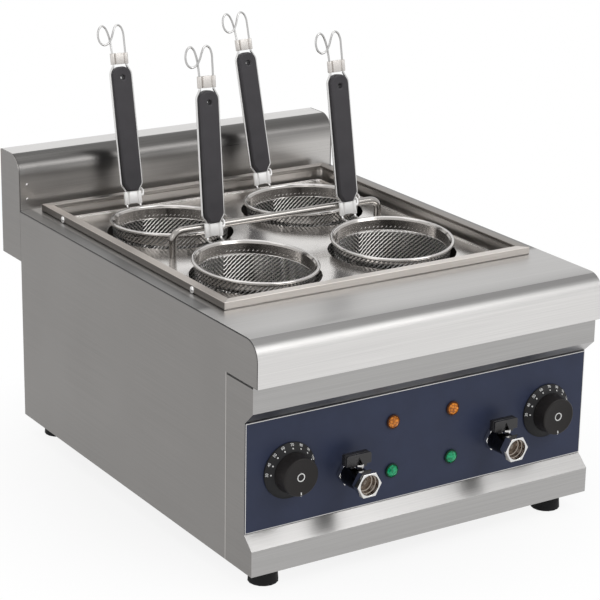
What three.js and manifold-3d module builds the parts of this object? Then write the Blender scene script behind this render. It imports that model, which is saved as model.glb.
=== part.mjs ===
// Countertop pasta cooker: an electric water bath with four lift-out wire baskets,
// two thermostats and two drain taps. Millimetres, +Z up, front towards -Y.
import * as THREE from 'three';
import { mergeVertices } from 'three/addons/utils/BufferGeometryUtils.js';
import Module from 'manifold-3d';

const wasm = await Module();
wasm.setup();

// General
const clearance = 0.3; // gap kept between pieces that touch
const sheet = 1.2; // wall of every folded sheet
const overrun = 3; // how far a cut runs past the face that it opens
const weldDistance = 1e-4; // corners of a solid closer than this are one

// Body, measured back from the front lip and up from the underside of the housing
const bodyWidth = 400;
const bodyDepth = 491;
const worktopHeight = 234;
const noseRadius = 20;
const lipDrop = 45;
const hoodReach = 55;
const footHeight = 20;
const footRadius = 15;
const footTopRadius = 13.5;
const footStudRadius = 4;
const footStudLength = 12;
const footSideInset = 29.5;
const footFrontInset = 35;
const footRearInset = 22;

// Front: two bright bands with a recessed control panel between them
const bandSetback = 8;
const recessDepth = 14;
const lowerBandTop = 26;
const recessBottom = 38.6;
const recessTopDrop = 84.5;
const upperBandDrop = 71.4;
const tongueHeight = 12;
const overlayThickness = 0.8;
const overlayMargin = 0.5;

// Upstand behind the worktop
const upstandDepth = 45;
const upstandDrop = 57;
const upstandRise = 59;
const upstandRadius = 21;

// Tank, its frame and the ledge that carries the basket plate
const frameSideMargin = 20;
const frameRearMargin = 13;
const frameFront = 93;
const frameBar = 10;
const frameRise = 8;
const frameLeg = 2;
const frameLip = 2.5;
const flangeThickness = 1.2;
const tankWall = 1.5;
const collarStep = 5.5;
const tabDrop = 18;
const tabReach = 14;
const tabLength = 24;
const tabInset = 34;
const tankFloor = 70;
const tankCorner = 8;

// Basket plate with its lifting handle
const plateMargin = 12;
const plateThickness = 1.5;
const plateRim = 3;
const plateCorner = 6;
const plateWeb = 31.4; // width left between two holes
const columnTrim = 3; // how far inside the middles of the plate's halves the holes stand
const rowTrim = 7.5;
const rowShift = 2.2;
const liftTubeRadius = 4;
const liftHeight = 26.5;
const liftSideMargin = 42;
const liftBend = 15;
const liftShift = 4.2;

// Wire rack that the baskets stand on
const rackHeight = 35;
const rackSideMargin = 15;
const rackEndMargin = 15.5;
const rackThickness = 3;
const rackBar = 5;
const rackBarCount = 9;
const rackLegRadius = 3;

// One basket, measured from the middle of its rim
const rimRise = 9.6; // height of an upright basket's rim over the plate
const rimGap = 4.4;
const rimWire = 2.5;
const rimTurnShares = [-0.8, -0.5, -0.2, 0.15, 0.5, 0.85];
const rimStep = 1;
const bowlTaper = 9.4;
const bowlCorner = 8;
const bowlWall = 1.2;
const bandHeight = 9;

// Plain grid of openings in a bowl's wall and floor, where the woven mesh lets the water through
const meshColumns = 24;
const meshRows = 3;
const meshBar = 3;
const meshSlots = 4;
const meshSlotShare = 0.8;
const meshFloorMargin = 3;

// How the baskets stand in the tank
const frontTilt = 3.5;
const rearTilt = -1.8;
const toeIn = 1.5;

// Basket handle, measured up from the bottom of its lower clamp
const handleSetIn = 4.5;
const handleLean = 12;
const rodRadius = 1.25;
const rodSpacing = 16;
const rodBend = 1.6;
const rodFootBend = 4.2;
const clampWall = 1;
const clampDepth = 5.6;
const lowerClampHeight = 13;
const upperClampHeight = 12;
const gripWidth = 21.6;
const gripThickness = 10;
const gripLength = 135;
const gripBevel = 1.8;
const gripTopRadius = 10;
const gripChamferWidth = 5.6;
const gripChamferHeight = 9;
const gripHoleRadius = 2.3;
const gripHoleDrop = 12;
const clampGap = 1.4;
const upperClampGap = 2.6;
const rodGap = 0.5;
const archHeight = 30;
const loopHeight = 18;
const loopWidth = 12.5;
const hookRadius = 1.2;
const hookReach = 16;
const hookTurnShares = [0.8, 0.65, 0.5, 0.35, 0.22];

// Controls, set out from the sides and the middle of the front panel
const knobSideInset = 48;
const knobRadius = 20;
const knobFaceRadius = 18.8;
const knobLength = 15;
const knobBossRadius = 7;
const knobDimple = 6.5;
const spindleRadius = 3;
const spindleClearance = 0.6;
const spindleLength = 24;
const dialRadius = 28;
const dialTopRadius = 20.5;
const dialThickness = 6.4;
const dialEdge = 1.4;
const dialBore = 8;
const lampSpacing = 70.4;
const lampPitch = 50.5;
const lampRadius = 5.8;
const lampBezelRadius = 7.2;
const lampBezelLength = 2;
const lampDome = 3;
const lampBarrelRadius = 5.2;
const lampBarrelLength = 28;

// Drain taps
const tapSetIn = 65;
const drainRise = 1;
const tapReach = 39.4;
const hexAcrossFlats = 24;
const hexLength = 10;
const outletRadius = 10.2;
const outletDepth = 12;
const tapBore = 5;
const valveRadius = 11.4;
const tapNutRadius = 12.5;
const tapNutLength = 6;
const tapTailRadius = 7.5;
const tapTailLength = 12;
const ballRadius = 8;
const ballCavity = 8.6;
const stemSetback = 4.5;
const stemRadius = 3;
const leverHalfLength = 14;
const leverThickness = 9;
const leverHeight = 13.2;
const leverHubHalf = 8.5;
const leverNotch = 5;
const pipeRadius = 7.5;
const pipeBore = 6;

// Heaters, thermostats and supply
const heaterRadius = 4;
const heaterRise = 20;
const heaterSideGap = 49.7;
const heaterSpan = 80;
const heaterBend = 18;
const heaterRearGap = 30;
const heaterTail = 12;
const thermostatSize = 46;
const thermostatDepth = 28;
const thermostatBoss = 11;
const thermostatBossLength = 8;
const terminalWidth = 60;
const terminalDepth = 28;
const terminalHeight = 24;
const terminalSlot = 4;
const terminalSlotCount = 3;
const terminalX = 60;
const terminalRearInset = 51;
const glandRadius = 8;
const glandNutRadius = 11.5;
const glandNutLength = 7;
const glandDomeLength = 9;
const glandBore = 5;
const glandTail = 12;
const glandX = 120;
const glandHeight = 40;

// Places worked out from the sizes above
const halfWidth = bodyWidth / 2;
const lipBottom = worktopHeight - lipDrop;
const recessTop = worktopHeight - recessTopDrop;
const upperBandBottom = worktopHeight - upperBandDrop;
const recessFace = bandSetback + recessDepth;
const overlayFace = recessFace - clearance - overlayThickness;
const tapFace = overlayFace - tapReach;
const upstandFront = bodyDepth;
const upstandRear = bodyDepth + upstandDepth;
const upstandBottom = worktopHeight - upstandDrop;
const upstandTop = worktopHeight + upstandRise;
const worktopRear = bodyDepth - clearance;
const worktopUnderside = worktopHeight - sheet;
const terminalSetback = bodyDepth - terminalRearInset;

const flangeBottom = worktopHeight + clearance;
const flangeTop = flangeBottom + flangeThickness;
const frameTop = worktopHeight + frameRise;
const frameWidth = bodyWidth - frameSideMargin * 2;
const frameDepth = bodyDepth - frameFront - frameRearMargin;
const frameRear = frameFront + frameDepth;
const frameMiddle = frameFront + frameDepth / 2;
const collarOuterInset = frameLeg + clearance;
const collarTop = frameTop - frameLip - clearance;
const collarLedge = frameTop - collarStep;
const wellInset = collarOuterInset + tankWall + tankWall;
const tabTop = frameTop - tabDrop;
const basinHalfWidth = frameWidth / 2 - wellInset;
const basinFront = frameFront + wellInset;
const basinRear = frameRear - wellInset;
const basinMiddle = (basinFront + basinRear) / 2;
const heaterHeight = tankFloor + heaterRise;
const heaterOuter = basinHalfWidth - heaterSideGap;
const heaterInner = heaterOuter - heaterSpan;
const rackTop = tankFloor + rackHeight;
const rackWidth = frameWidth - rackSideMargin * 2;
const rackDepth = frameDepth - rackEndMargin * 2;

const plateBottom = tabTop + clearance;
const plateTop = plateBottom + plateThickness;
const plateWidth = frameWidth - plateMargin * 2;
const plateDepth = frameDepth - plateMargin * 2;
const basketSpacingX = plateWidth / 2 - columnTrim;
const basketSpacingY = plateDepth / 2 - rowTrim;
const frontRowSetback = frameMiddle - rowShift - basketSpacingY / 2;
const holeRadius = (Math.min(basketSpacingX, basketSpacingY) - plateWeb) / 2;
const liftWidth = plateWidth - liftSideMargin * 2;
const liftSetback = frontRowSetback + basketSpacingY / 2 + liftShift;

const basketDepth = plateTop + rimRise - rackTop;
const rimRadius = holeRadius - rimGap;
const bowlTopRadius = rimRadius - rimStep;
const bowlBottomRadius = bowlTopRadius - bowlTaper;
const bowlFloorRadius = bowlBottomRadius - bowlCorner;
const handleOffset = basketSpacingY / 2 - handleSetIn;

const panelMiddle = (recessBottom + recessTop) / 2;
const knobSpacing = bodyWidth - knobSideInset * 2;
const knobHeight = panelMiddle;
const heatingLampHeight = panelMiddle + lampPitch / 2;
const powerLampHeight = panelMiddle - lampPitch / 2;
const tapSpacing = knobSpacing - tapSetIn * 2;
const tapHeight = tankFloor + pipeRadius + drainRise;
const hexRadius = hexAcrossFlats / Math.sqrt(3);
const flatUp = Math.PI / 6;

// Solids

function toManifold(geometry) {
  const plain = geometry.clone();
  plain.deleteAttribute('normal');
  plain.deleteAttribute('uv');
  const merged = mergeVertices(plain, weldDistance);
  const vertProperties = new Float32Array(merged.attributes.position.array);
  const triVerts = new Uint32Array(merged.index.array);
  return new wasm.Manifold(new wasm.Mesh({ numProp: 3, vertProperties, triVerts }));
}

function toGeometry(manifold) {
  const { vertProperties, triVerts, numProp } = manifold.getMesh();
  const positions = new Float32Array((vertProperties.length / numProp) * 3);
  for (let i = 0; i < positions.length / 3; i += 1) {
    positions.set(vertProperties.subarray(i * numProp, i * numProp + 3), i * 3);
  }
  const geometry = new THREE.BufferGeometry();
  geometry.setAttribute('position', new THREE.BufferAttribute(positions, 3));
  geometry.setIndex(new THREE.BufferAttribute(new Uint32Array(triVerts), 1));
  const flat = geometry.toNonIndexed();
  flat.computeVertexNormals();
  return flat;
}

function join(first, ...others) {
  return toGeometry(others.reduce((sum, part) => sum.add(toManifold(part)), toManifold(first)));
}

function cut(body, ...tools) {
  return toGeometry(tools.reduce((rest, tool) => rest.subtract(toManifold(tool)), toManifold(body)));
}

function block(x0, x1, y0, y1, z0, z1) {
  const geometry = new THREE.BoxGeometry(x1 - x0, y1 - y0, z1 - z0);
  return geometry.translate((x0 + x1) / 2, (y0 + y1) / 2, (z0 + z1) / 2);
}

function outline(points) {
  return new THREE.Shape(points.map(([u, v]) => new THREE.Vector2(u, v)));
}

// An outline in (y, z) drawn out along +X
function extrudeX(shape, x0, x1) {
  const settings = { depth: x1 - x0, bevelEnabled: false, curveSegments: 6 };
  const geometry = new THREE.ExtrudeGeometry(shape, settings);
  const basis = new THREE.Matrix4().makeBasis(
    new THREE.Vector3(0, 1, 0), new THREE.Vector3(0, 0, 1), new THREE.Vector3(1, 0, 0));
  return geometry.applyMatrix4(basis).translate(x0, 0, 0);
}

// An outline in (x, y) drawn out along +Z
function extrudeZ(shape, z0, z1, curveSegments) {
  const geometry = new THREE.ExtrudeGeometry(shape, { depth: z1 - z0, bevelEnabled: false, curveSegments });
  return geometry.translate(0, 0, z0);
}

function roundedRectangle(x0, x1, y0, y1, radius) {
  const shape = new THREE.Shape();
  shape.absarc(x1 - radius, y0 + radius, radius, -Math.PI / 2, 0, false);
  shape.absarc(x1 - radius, y1 - radius, radius, 0, Math.PI / 2, false);
  shape.absarc(x0 + radius, y1 - radius, radius, Math.PI / 2, Math.PI, false);
  shape.absarc(x0 + radius, y0 + radius, radius, Math.PI, Math.PI * 1.5, false);
  return shape;
}

function slab(x0, x1, y0, y1, z0, z1, radius) {
  return extrudeZ(roundedRectangle(x0, x1, y0, y1, radius), z0, z1, 2);
}

// A slab that keeps the given distance from the tank frame's outer edges
function tankSlab(inset, z0, z1, radius) {
  const half = frameWidth / 2 - inset;
  return slab(-half, half, frameFront + inset, frameRear - inset, z0, z1, radius);
}

// The same with square corners
function tankBlock(inset, z0, z1) {
  const half = frameWidth / 2 - inset;
  return block(-half, half, frameFront + inset, frameRear - inset, z0, z1);
}

function spin(points, segments) {
  return new THREE.LatheGeometry(points.map(([r, h]) => new THREE.Vector2(r, h)), segments);
}

// Turned pieces: profile points are (radius, height)
function turnedZ(points, segments) {
  return spin(points, segments).rotateX(Math.PI / 2);
}

// Turned pieces on a front-to-back axis: profile points are (radius, distance to the front)
function turnedForward(points, segments) {
  return spin(points, segments).rotateX(Math.PI);
}

function rodY(radius, y0, y1, segments) {
  const geometry = new THREE.CylinderGeometry(radius, radius, y1 - y0, segments);
  return geometry.translate(0, (y0 + y1) / 2, 0);
}

function rodZ(radius, z0, z1, segments) {
  return rodY(radius, z0, z1, segments).rotateX(Math.PI / 2);
}

function rodX(radius, x0, x1, segments) {
  return rodY(radius, x0, x1, segments).rotateZ(-Math.PI / 2);
}

// A path of straight runs whose corners are rounded
function bent(points, bend, steps) {
  const path = [points[0]];
  for (let i = 1; i < points.length - 1; i += 1) {
    const before = points[i - 1].clone().sub(points[i]);
    const after = points[i + 1].clone().sub(points[i]);
    const reach = Math.min(bend, before.length() * 0.45, after.length() * 0.45);
    const start = points[i].clone().add(before.setLength(reach));
    const end = points[i].clone().add(after.setLength(reach));
    path.push(...new THREE.QuadraticBezierCurve3(start, points[i], end).getPoints(steps));
  }
  path.push(points[points.length - 1]);
  return path;
}

// A round wire or tube through every point of a path, closed by a flat end at both ends
function wire(path, radius, sides) {
  const positions = [];
  const index = [];
  const tangentAt = (i) => {
    const next = path[Math.min(i + 1, path.length - 1)];
    const last = path[Math.max(i - 1, 0)];
    return next.clone().sub(last).normalize();
  };
  const firstTangent = tangentAt(0);
  const helper = Math.abs(firstTangent.y) < 0.9 ? new THREE.Vector3(0, 1, 0) : new THREE.Vector3(1, 0, 0);
  const normal = helper.cross(firstTangent).normalize();
  let previous = firstTangent;
  path.forEach((point, i) => {
    const tangent = tangentAt(i);
    normal.applyQuaternion(new THREE.Quaternion().setFromUnitVectors(previous, tangent));
    normal.addScaledVector(tangent, -normal.dot(tangent)).normalize();
    previous = tangent;
    const side = tangent.clone().cross(normal);
    for (let k = 0; k < sides; k += 1) {
      const angle = (k / sides) * Math.PI * 2;
      const offset = normal.clone().multiplyScalar(Math.cos(angle)).addScaledVector(side, Math.sin(angle));
      positions.push(...point.clone().addScaledVector(offset, radius).toArray());
    }
  });
  for (let i = 0; i < path.length - 1; i += 1) {
    for (let k = 0; k < sides; k += 1) {
      const a = i * sides + k;
      const b = i * sides + ((k + 1) % sides);
      index.push(a, b, a + sides, b, b + sides, a + sides);
    }
  }
  const lastRing = (path.length - 1) * sides;
  for (let k = 1; k < sides - 1; k += 1) {
    index.push(0, k + 1, k, lastRing, lastRing + k, lastRing + k + 1);
  }
  const geometry = new THREE.BufferGeometry();
  geometry.setAttribute('position', new THREE.Float32BufferAttribute(positions, 3));
  geometry.setIndex(index);
  const flat = geometry.toNonIndexed();
  flat.computeVertexNormals();
  return flat;
}

function point(x, y, z) {
  return new THREE.Vector3(x, y, z);
}

// Finishes

function finish(color, roughness, metalness) {
  return new THREE.MeshStandardMaterial({ color, roughness, metalness });
}

const brushedSteel = finish(0xb9b7b3, 0.38, 1);
const polishedSteel = finish(0xd4d4d2, 0.18, 1);
const blueOverlay = finish(0x3a3f55, 0.45, 0);
const blackPlastic = finish(0x464448, 0.5, 0);
const darkPlastic = finish(0x2b2a2a, 0.55, 0);
const blackRubber = finish(0x1c1c1c, 0.8, 0);
const chromedBrass = finish(0xe2e0dc, 0.12, 1);
const amberLens = finish(0xe68214, 0.25, 0);
const greenLens = finish(0x149655, 0.25, 0);
const heaterSteel = finish(0x5c5a58, 0.4, 1);
const creamPlastic = finish(0xd8d2c0, 0.6, 0);

const cooker = new THREE.Group();
cooker.position.set(0, -(tapFace + upstandRear) / 2, footHeight);

function add(parent, name, geometry, material, x = 0, y = 0, z = 0) {
  const mesh = new THREE.Mesh(geometry, material);
  mesh.name = name;
  mesh.position.set(x, y, z);
  parent.add(mesh);
  return mesh;
}

const sides = [['left', -1], ['right', 1]];

// Housing

// Worktop profile in (y, z), drawn back by an offset from the outer skin
function worktopCurve(shape, inset) {
  const radius = noseRadius - inset;
  shape.lineTo(inset, worktopHeight - noseRadius);
  shape.absarc(noseRadius, worktopHeight - noseRadius, radius, Math.PI, Math.PI / 2, true);
}

function makeWorktop() {
  const shape = new THREE.Shape();
  shape.moveTo(0, lipBottom);
  worktopCurve(shape, 0);
  shape.lineTo(worktopRear, worktopHeight);
  shape.lineTo(worktopRear, worktopUnderside);
  shape.absarc(noseRadius, worktopHeight - noseRadius, noseRadius - sheet, Math.PI / 2, Math.PI, false);
  shape.lineTo(sheet, lipBottom);
  const opening = tankSlab(collarOuterInset + tankWall - clearance,
    worktopUnderside - overrun, worktopHeight + overrun, tankCorner);
  return cut(extrudeX(shape, -halfWidth, halfWidth), opening);
}

function makeSidePanel(x0, x1) {
  const inset = sheet + clearance;
  const shape = new THREE.Shape();
  shape.moveTo(inset, lipBottom);
  worktopCurve(shape, inset);
  shape.lineTo(worktopRear, worktopHeight - inset);
  shape.lineTo(worktopRear, 0);
  shape.lineTo(hoodReach + clearance, 0);
  shape.lineTo(hoodReach + clearance, lipBottom);
  return extrudeX(shape, x0, x1);
}

function frontOutline() {
  return [
    [bandSetback, 0], [bandSetback, lowerBandTop], [recessFace, recessBottom],
    [recessFace, recessTop], [bandSetback, upperBandBottom], [bandSetback, lipBottom - clearance],
  ];
}

function fasciaHoles(y0, y1) {
  const holes = [];
  sides.forEach(([, side]) => {
    const knobHole = rodY(spindleRadius + spindleClearance, y0, y1, 12);
    holes.push(knobHole.translate(side * knobSpacing / 2, 0, knobHeight));
    const tapHole = rodY(tapTailRadius + clearance, y0, y1, 16);
    holes.push(tapHole.translate(side * tapSpacing / 2, 0, tapHeight));
    [heatingLampHeight, powerLampHeight].forEach((height) => {
      const lampHole = rodY(lampBarrelRadius + clearance, y0, y1, 12);
      holes.push(lampHole.translate(side * lampSpacing / 2, 0, height));
    });
  });
  return holes;
}

function makeFascia() {
  const front = frontOutline();
  const top = lipBottom - clearance;
  const outer = extrudeX(outline([...front, [hoodReach, top], [hoodReach, 0]]), -halfWidth, halfWidth);
  const behind = front.map(([y, z]) => [y + sheet, z]);
  behind[0][1] = -overrun;
  behind[behind.length - 1][1] = top + overrun;
  const hollow = outline([...behind, [hoodReach + overrun, top + overrun], [hoodReach + overrun, -overrun]]);
  const inner = extrudeX(hollow, -halfWidth + sheet, halfWidth - sheet);
  const tongueHalf = halfWidth - sheet - clearance;
  const tongueFace = bandSetback + sheet / 2;
  const tongue = block(-tongueHalf, tongueHalf, tongueFace, tongueFace + sheet,
    upperBandBottom + overrun, lipBottom + tongueHeight);
  const holes = fasciaHoles(recessFace - overrun, recessFace + sheet + overrun);
  return cut(join(cut(outer, inner), tongue), ...holes);
}

function makeControlPanel() {
  const half = halfWidth - overlayMargin;
  const plate = block(-half, half, overlayFace, overlayFace + overlayThickness,
    recessBottom + overlayMargin, recessTop - overlayMargin);
  return cut(plate, ...fasciaHoles(overlayFace - overrun, overlayFace + overlayThickness + overrun));
}

// Outline of the upstand in (y, z), drawn inside its outer skin by an offset
function upstandOutline(inset) {
  const shape = new THREE.Shape();
  const radius = upstandRadius - inset;
  shape.moveTo(upstandFront + inset, upstandBottom);
  shape.lineTo(upstandFront + inset, upstandTop - upstandRadius);
  shape.absarc(upstandFront + upstandRadius, upstandTop - upstandRadius, radius, Math.PI, Math.PI / 2, true);
  shape.lineTo(upstandRear - inset, upstandTop - inset);
  shape.lineTo(upstandRear - inset, upstandBottom);
  return shape;
}

function makeUpstand() {
  const half = halfWidth - sheet - clearance;
  const inner = extrudeX(upstandOutline(sheet), -half - overrun, half + overrun);
  const mouth = block(-half - overrun, half + overrun, upstandFront + sheet, upstandRear - sheet,
    upstandBottom - overrun, upstandBottom + overrun);
  return cut(extrudeX(upstandOutline(0), -half, half), join(inner, mouth));
}

function makeBasePlate() {
  const half = halfWidth - sheet - clearance;
  const front = bandSetback + sheet + clearance;
  const rear = worktopRear - sheet - clearance;
  const plate = block(-half, half, front, rear, 0, sheet);
  const holes = footPlaces().map(([x, y]) => (
    rodZ(footStudRadius + clearance, -overrun, sheet + overrun, 10).translate(x, y, 0)));
  return cut(plate, ...holes);
}

function makeRearPanel() {
  const half = halfWidth - sheet - clearance;
  const panel = block(-half, half, worktopRear - sheet, worktopRear, 0, worktopUnderside - clearance);
  const hole = rodY(glandRadius + clearance, worktopRear - sheet - overrun, worktopRear + overrun, 20);
  return cut(panel, hole.translate(glandX, 0, glandHeight));
}

function footPlaces() {
  const x = halfWidth - footSideInset;
  const rear = bodyDepth - footRearInset;
  return [[-x, footFrontInset], [x, footFrontInset], [-x, rear], [x, rear]];
}

function makeFoot() {
  return turnedZ([
    [0, -footHeight], [footRadius, -footHeight], [footTopRadius, -clearance],
    [footStudRadius, -clearance], [footStudRadius, footStudLength], [0, footStudLength],
  ], 16);
}

add(cooker, 'worktop', makeWorktop(), brushedSteel);
add(cooker, 'side_panel_left', makeSidePanel(-halfWidth, -halfWidth + sheet), brushedSteel);
add(cooker, 'side_panel_right', makeSidePanel(halfWidth - sheet, halfWidth), brushedSteel);
add(cooker, 'fascia', makeFascia(), brushedSteel);
add(cooker, 'control_panel', makeControlPanel(), blueOverlay);
add(cooker, 'upstand', makeUpstand(), brushedSteel);
add(cooker, 'upstand_cap_left', extrudeX(upstandOutline(0), -halfWidth, -halfWidth + sheet), brushedSteel);
add(cooker, 'upstand_cap_right', extrudeX(upstandOutline(0), halfWidth - sheet, halfWidth), brushedSteel);
add(cooker, 'base_plate', makeBasePlate(), brushedSteel);
add(cooker, 'rear_panel', makeRearPanel(), brushedSteel);
['front_left', 'front_right', 'rear_left', 'rear_right'].forEach((corner, i) => {
  const [x, y] = footPlaces()[i];
  add(cooker, `foot_${corner}`, makeFoot(), blackRubber, x, y, 0);
});

// Tank and what stands in it

function makeTankFrame() {
  const outer = tankBlock(0, flangeTop + clearance, frameTop);
  const opening = tankBlock(frameBar, flangeTop - overrun, frameTop + overrun);
  const rebate = tankBlock(frameLeg, flangeTop - overrun, frameTop - frameLip);
  return cut(outer, opening, rebate);
}

function drainHoles(y0, y1) {
  return sides.map(([, side]) => (
    rodY(pipeRadius + clearance, y0, y1, 16).translate(side * tapSpacing / 2, 0, tapHeight)));
}

function heaterHoles(y0, y1) {
  return sides.flatMap(([, side]) => [heaterInner, heaterOuter].map((x) => (
    rodY(heaterRadius + clearance, y0, y1, 8).translate(side * x, 0, heaterHeight))));
}

// Small shelves on the side walls, which the basket plate stands on
function plateTabs() {
  const rows = [basinFront + tabInset, basinMiddle, basinRear - tabInset];
  return sides.flatMap(([, side]) => rows.map((y) => {
    const wall = side * (basinHalfWidth + tankWall / 2);
    const edge = side * (basinHalfWidth - tabReach);
    return block(Math.min(wall, edge), Math.max(wall, edge), y - tabLength / 2, y + tabLength / 2,
      tabTop - tankWall, tabTop);
  }));
}

function makeTank() {
  const body = join(
    tankSlab(wellInset - tankWall, tankFloor - tankWall, collarLedge, tankCorner + tankWall),
    tankBlock(0, flangeBottom, flangeTop),
    tankSlab(collarOuterInset, flangeBottom, collarTop, tankCorner),
  );
  const y0 = basinFront - tankWall - overrun;
  const y1 = basinFront + overrun;
  const shell = cut(body,
    tankSlab(wellInset, tankFloor, collarLedge + overrun, tankCorner),
    tankSlab(wellInset - tankWall, collarLedge, collarTop + overrun, tankCorner),
    ...drainHoles(y0, y1), ...heaterHoles(y0, y1));
  return join(shell, ...plateTabs());
}

function makeRack() {
  const halfX = rackWidth / 2;
  const y0 = basinMiddle - rackDepth / 2;
  const y1 = basinMiddle + rackDepth / 2;
  const z0 = rackTop - rackThickness;
  const plate = block(-halfX, halfX, y0, y1, z0, rackTop);
  const pitch = (rackWidth - rackBar) / rackBarCount;
  const windowRows = [
    [y0 + rackBar, basinMiddle - rackBar / 2],
    [basinMiddle + rackBar / 2, y1 - rackBar],
  ];
  const windows = [];
  for (let i = 0; i < rackBarCount; i += 1) {
    const x = -halfX + rackBar + i * pitch;
    windowRows.forEach(([front, rear]) => {
      windows.push(block(x, x + pitch - rackBar, front, rear, z0 - overrun, rackTop + overrun));
    });
  }
  const legX = halfX - rackLegRadius;
  const legs = [-legX, legX].flatMap((x) => [y0 + rackLegRadius, y1 - rackLegRadius].map((y) => (
    rodZ(rackLegRadius, tankFloor + clearance, rackTop - rackThickness / 2, 8).translate(x, y, 0))));
  return join(cut(plate, ...windows), ...legs);
}

function makeHeater(side) {
  const front = basinFront - tankWall - heaterTail;
  const rear = basinRear - heaterRearGap;
  const path = bent([
    point(side * heaterInner, front, heaterHeight), point(side * heaterInner, rear, heaterHeight),
    point(side * heaterOuter, rear, heaterHeight), point(side * heaterOuter, front, heaterHeight),
  ], heaterBend, 6);
  return wire(path, heaterRadius, 8);
}

add(cooker, 'tank', makeTank(), polishedSteel);
add(cooker, 'tank_frame', makeTankFrame(), brushedSteel);
add(cooker, 'basket_rack', makeRack(), polishedSteel);
sides.forEach(([name, side]) => add(cooker, `heating_element_${name}`, makeHeater(side), heaterSteel));

// Controls

function makeDialRing() {
  return turnedForward([
    [dialBore, 0], [dialRadius, 0], [dialRadius, dialEdge],
    [dialTopRadius, dialThickness], [dialBore, dialThickness], [dialBore, 0],
  ], 28);
}

// Knob, its boss and its spindle, with the origin at the back face of the knob
function makeKnob() {
  const edge = knobLength * 0.08;
  const boss = dialThickness - clearance;
  const tip = spindleLength;
  return turnedForward([
    [0, -tip], [spindleRadius, -tip], [spindleRadius, -boss], [knobBossRadius, -boss], [knobBossRadius, 0],
    [knobRadius, 0], [knobFaceRadius, knobLength - edge], [knobFaceRadius - edge, knobLength],
    [knobDimple, knobLength], [knobDimple, knobLength - edge / 2], [0, knobLength - edge / 2],
  ], 24);
}

function makeThermostat() {
  const half = thermostatSize / 2;
  const box = block(-half, half, thermostatBossLength, thermostatBossLength + thermostatDepth, -half, half);
  const boss = rodY(thermostatBoss, 0, thermostatBossLength + overrun, 20);
  const bore = rodY(spindleRadius + spindleClearance, -overrun, thermostatDepth, 16);
  return cut(join(box, boss), bore);
}

function makeLamp() {
  return turnedForward([
    [0, -lampBarrelLength], [lampBarrelRadius, -lampBarrelLength], [lampBarrelRadius, 0],
    [lampBezelRadius, 0], [lampBezelRadius, lampBezelLength], [lampRadius, lampBezelLength],
    [lampRadius * 0.75, lampBezelLength + lampDome * 0.7], [0, lampBezelLength + lampDome],
  ], 14);
}

const seatFace = overlayFace - clearance;
const knobBack = seatFace - dialThickness - clearance;

sides.forEach(([name, side]) => {
  const knobX = side * knobSpacing / 2;
  const lampX = side * lampSpacing / 2;
  add(cooker, `dial_ring_${name}`, makeDialRing(), darkPlastic, knobX, seatFace, knobHeight);
  add(cooker, `thermostat_knob_${name}`, makeKnob(), blackPlastic, knobX, knobBack, knobHeight);
  add(cooker, `thermostat_${name}`, makeThermostat(), creamPlastic,
    knobX, recessFace + sheet + clearance, knobHeight);
  add(cooker, `heating_lamp_${name}`, makeLamp(), amberLens, lampX, seatFace, heatingLampHeight);
  add(cooker, `power_lamp_${name}`, makeLamp(), greenLens, lampX, seatFace, powerLampHeight);
});

// Drain taps

// Tap body with the origin on its bore axis at the face of the control panel
function makeTapBody() {
  const stem = stemSetback - seatFace;
  const face = tapFace - seatFace;
  const hex = rodY(hexRadius, face, face + hexLength, 6).rotateY(flatUp);
  const outer = join(
    rodY(tapTailRadius, -overrun, tapTailLength, 16),
    rodY(tapNutRadius, -tapNutLength, 0, 6).rotateY(flatUp),
    rodY(valveRadius, face + hexLength / 2, -tapNutLength / 2, 20),
    hex,
  );
  return cut(outer,
    rodY(tapBore, face - overrun, tapTailLength + overrun, 12),
    rodY(outletRadius, face - overrun, face + outletDepth, 20),
    new THREE.SphereGeometry(ballCavity, 12, 8).translate(0, stem, 0),
    rodZ(stemRadius + clearance, 0, valveRadius + overrun, 12).translate(0, stem, 0));
}

// Ball, stem and lever with the origin at the middle of the ball
function makeTapLever() {
  const bottom = valveRadius + clearance;
  const half = leverThickness / 2;
  const top = bottom + leverHeight;
  const wing = Math.max(hexRadius, tapNutRadius) + clearance;
  const lever = slab(-leverHalfLength, leverHalfLength, -half, half, bottom, top, half * 0.5);
  const reliefs = [-1, 1].map((side) => {
    const inner = side * leverHubHalf;
    const outer = side * (leverHalfLength + overrun);
    return block(Math.min(inner, outer), Math.max(inner, outer), -half - overrun, half + overrun,
      bottom - overrun, wing);
  });
  const notch = rodZ(leverNotch, bottom - overrun, bottom + leverHeight * 0.55, 4)
    .translate(0, -half - leverNotch / 2, 0);
  const ball = new THREE.SphereGeometry(ballRadius, 12, 8);
  const bore = rodX(tapBore, -ballRadius - overrun, ballRadius + overrun, 12);
  const stem = rodZ(stemRadius, tapBore + clearance, bottom + overrun, 12);
  return join(cut(ball, bore), stem, cut(lever, notch, ...reliefs));
}

function makeDrainPipe() {
  const front = seatFace + tapTailLength + clearance;
  const rear = basinFront - clearance;
  return cut(rodY(pipeRadius, front, rear, 16), rodY(pipeBore, front - overrun, rear + overrun, 16));
}

sides.forEach(([name, side]) => {
  const x = side * tapSpacing / 2;
  add(cooker, `tap_body_${name}`, makeTapBody(), chromedBrass, x, seatFace, tapHeight);
  add(cooker, `tap_lever_${name}`, makeTapLever(), darkPlastic, x, stemSetback, tapHeight);
  add(cooker, `drain_pipe_${name}`, makeDrainPipe(), polishedSteel, x, 0, tapHeight);
});

// Supply

function makeTerminalBlock() {
  const half = terminalWidth / 2;
  const body = block(-half, half, 0, terminalDepth, 0, terminalHeight);
  const pitch = terminalWidth / (terminalSlotCount + 1);
  const slots = [];
  for (let i = 1; i <= terminalSlotCount; i += 1) {
    const x = -half + i * pitch - terminalSlot / 2;
    slots.push(block(x, x + terminalSlot, -overrun, terminalDepth + overrun,
      terminalHeight / 2, terminalHeight + overrun));
  }
  return cut(body, ...slots);
}

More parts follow.
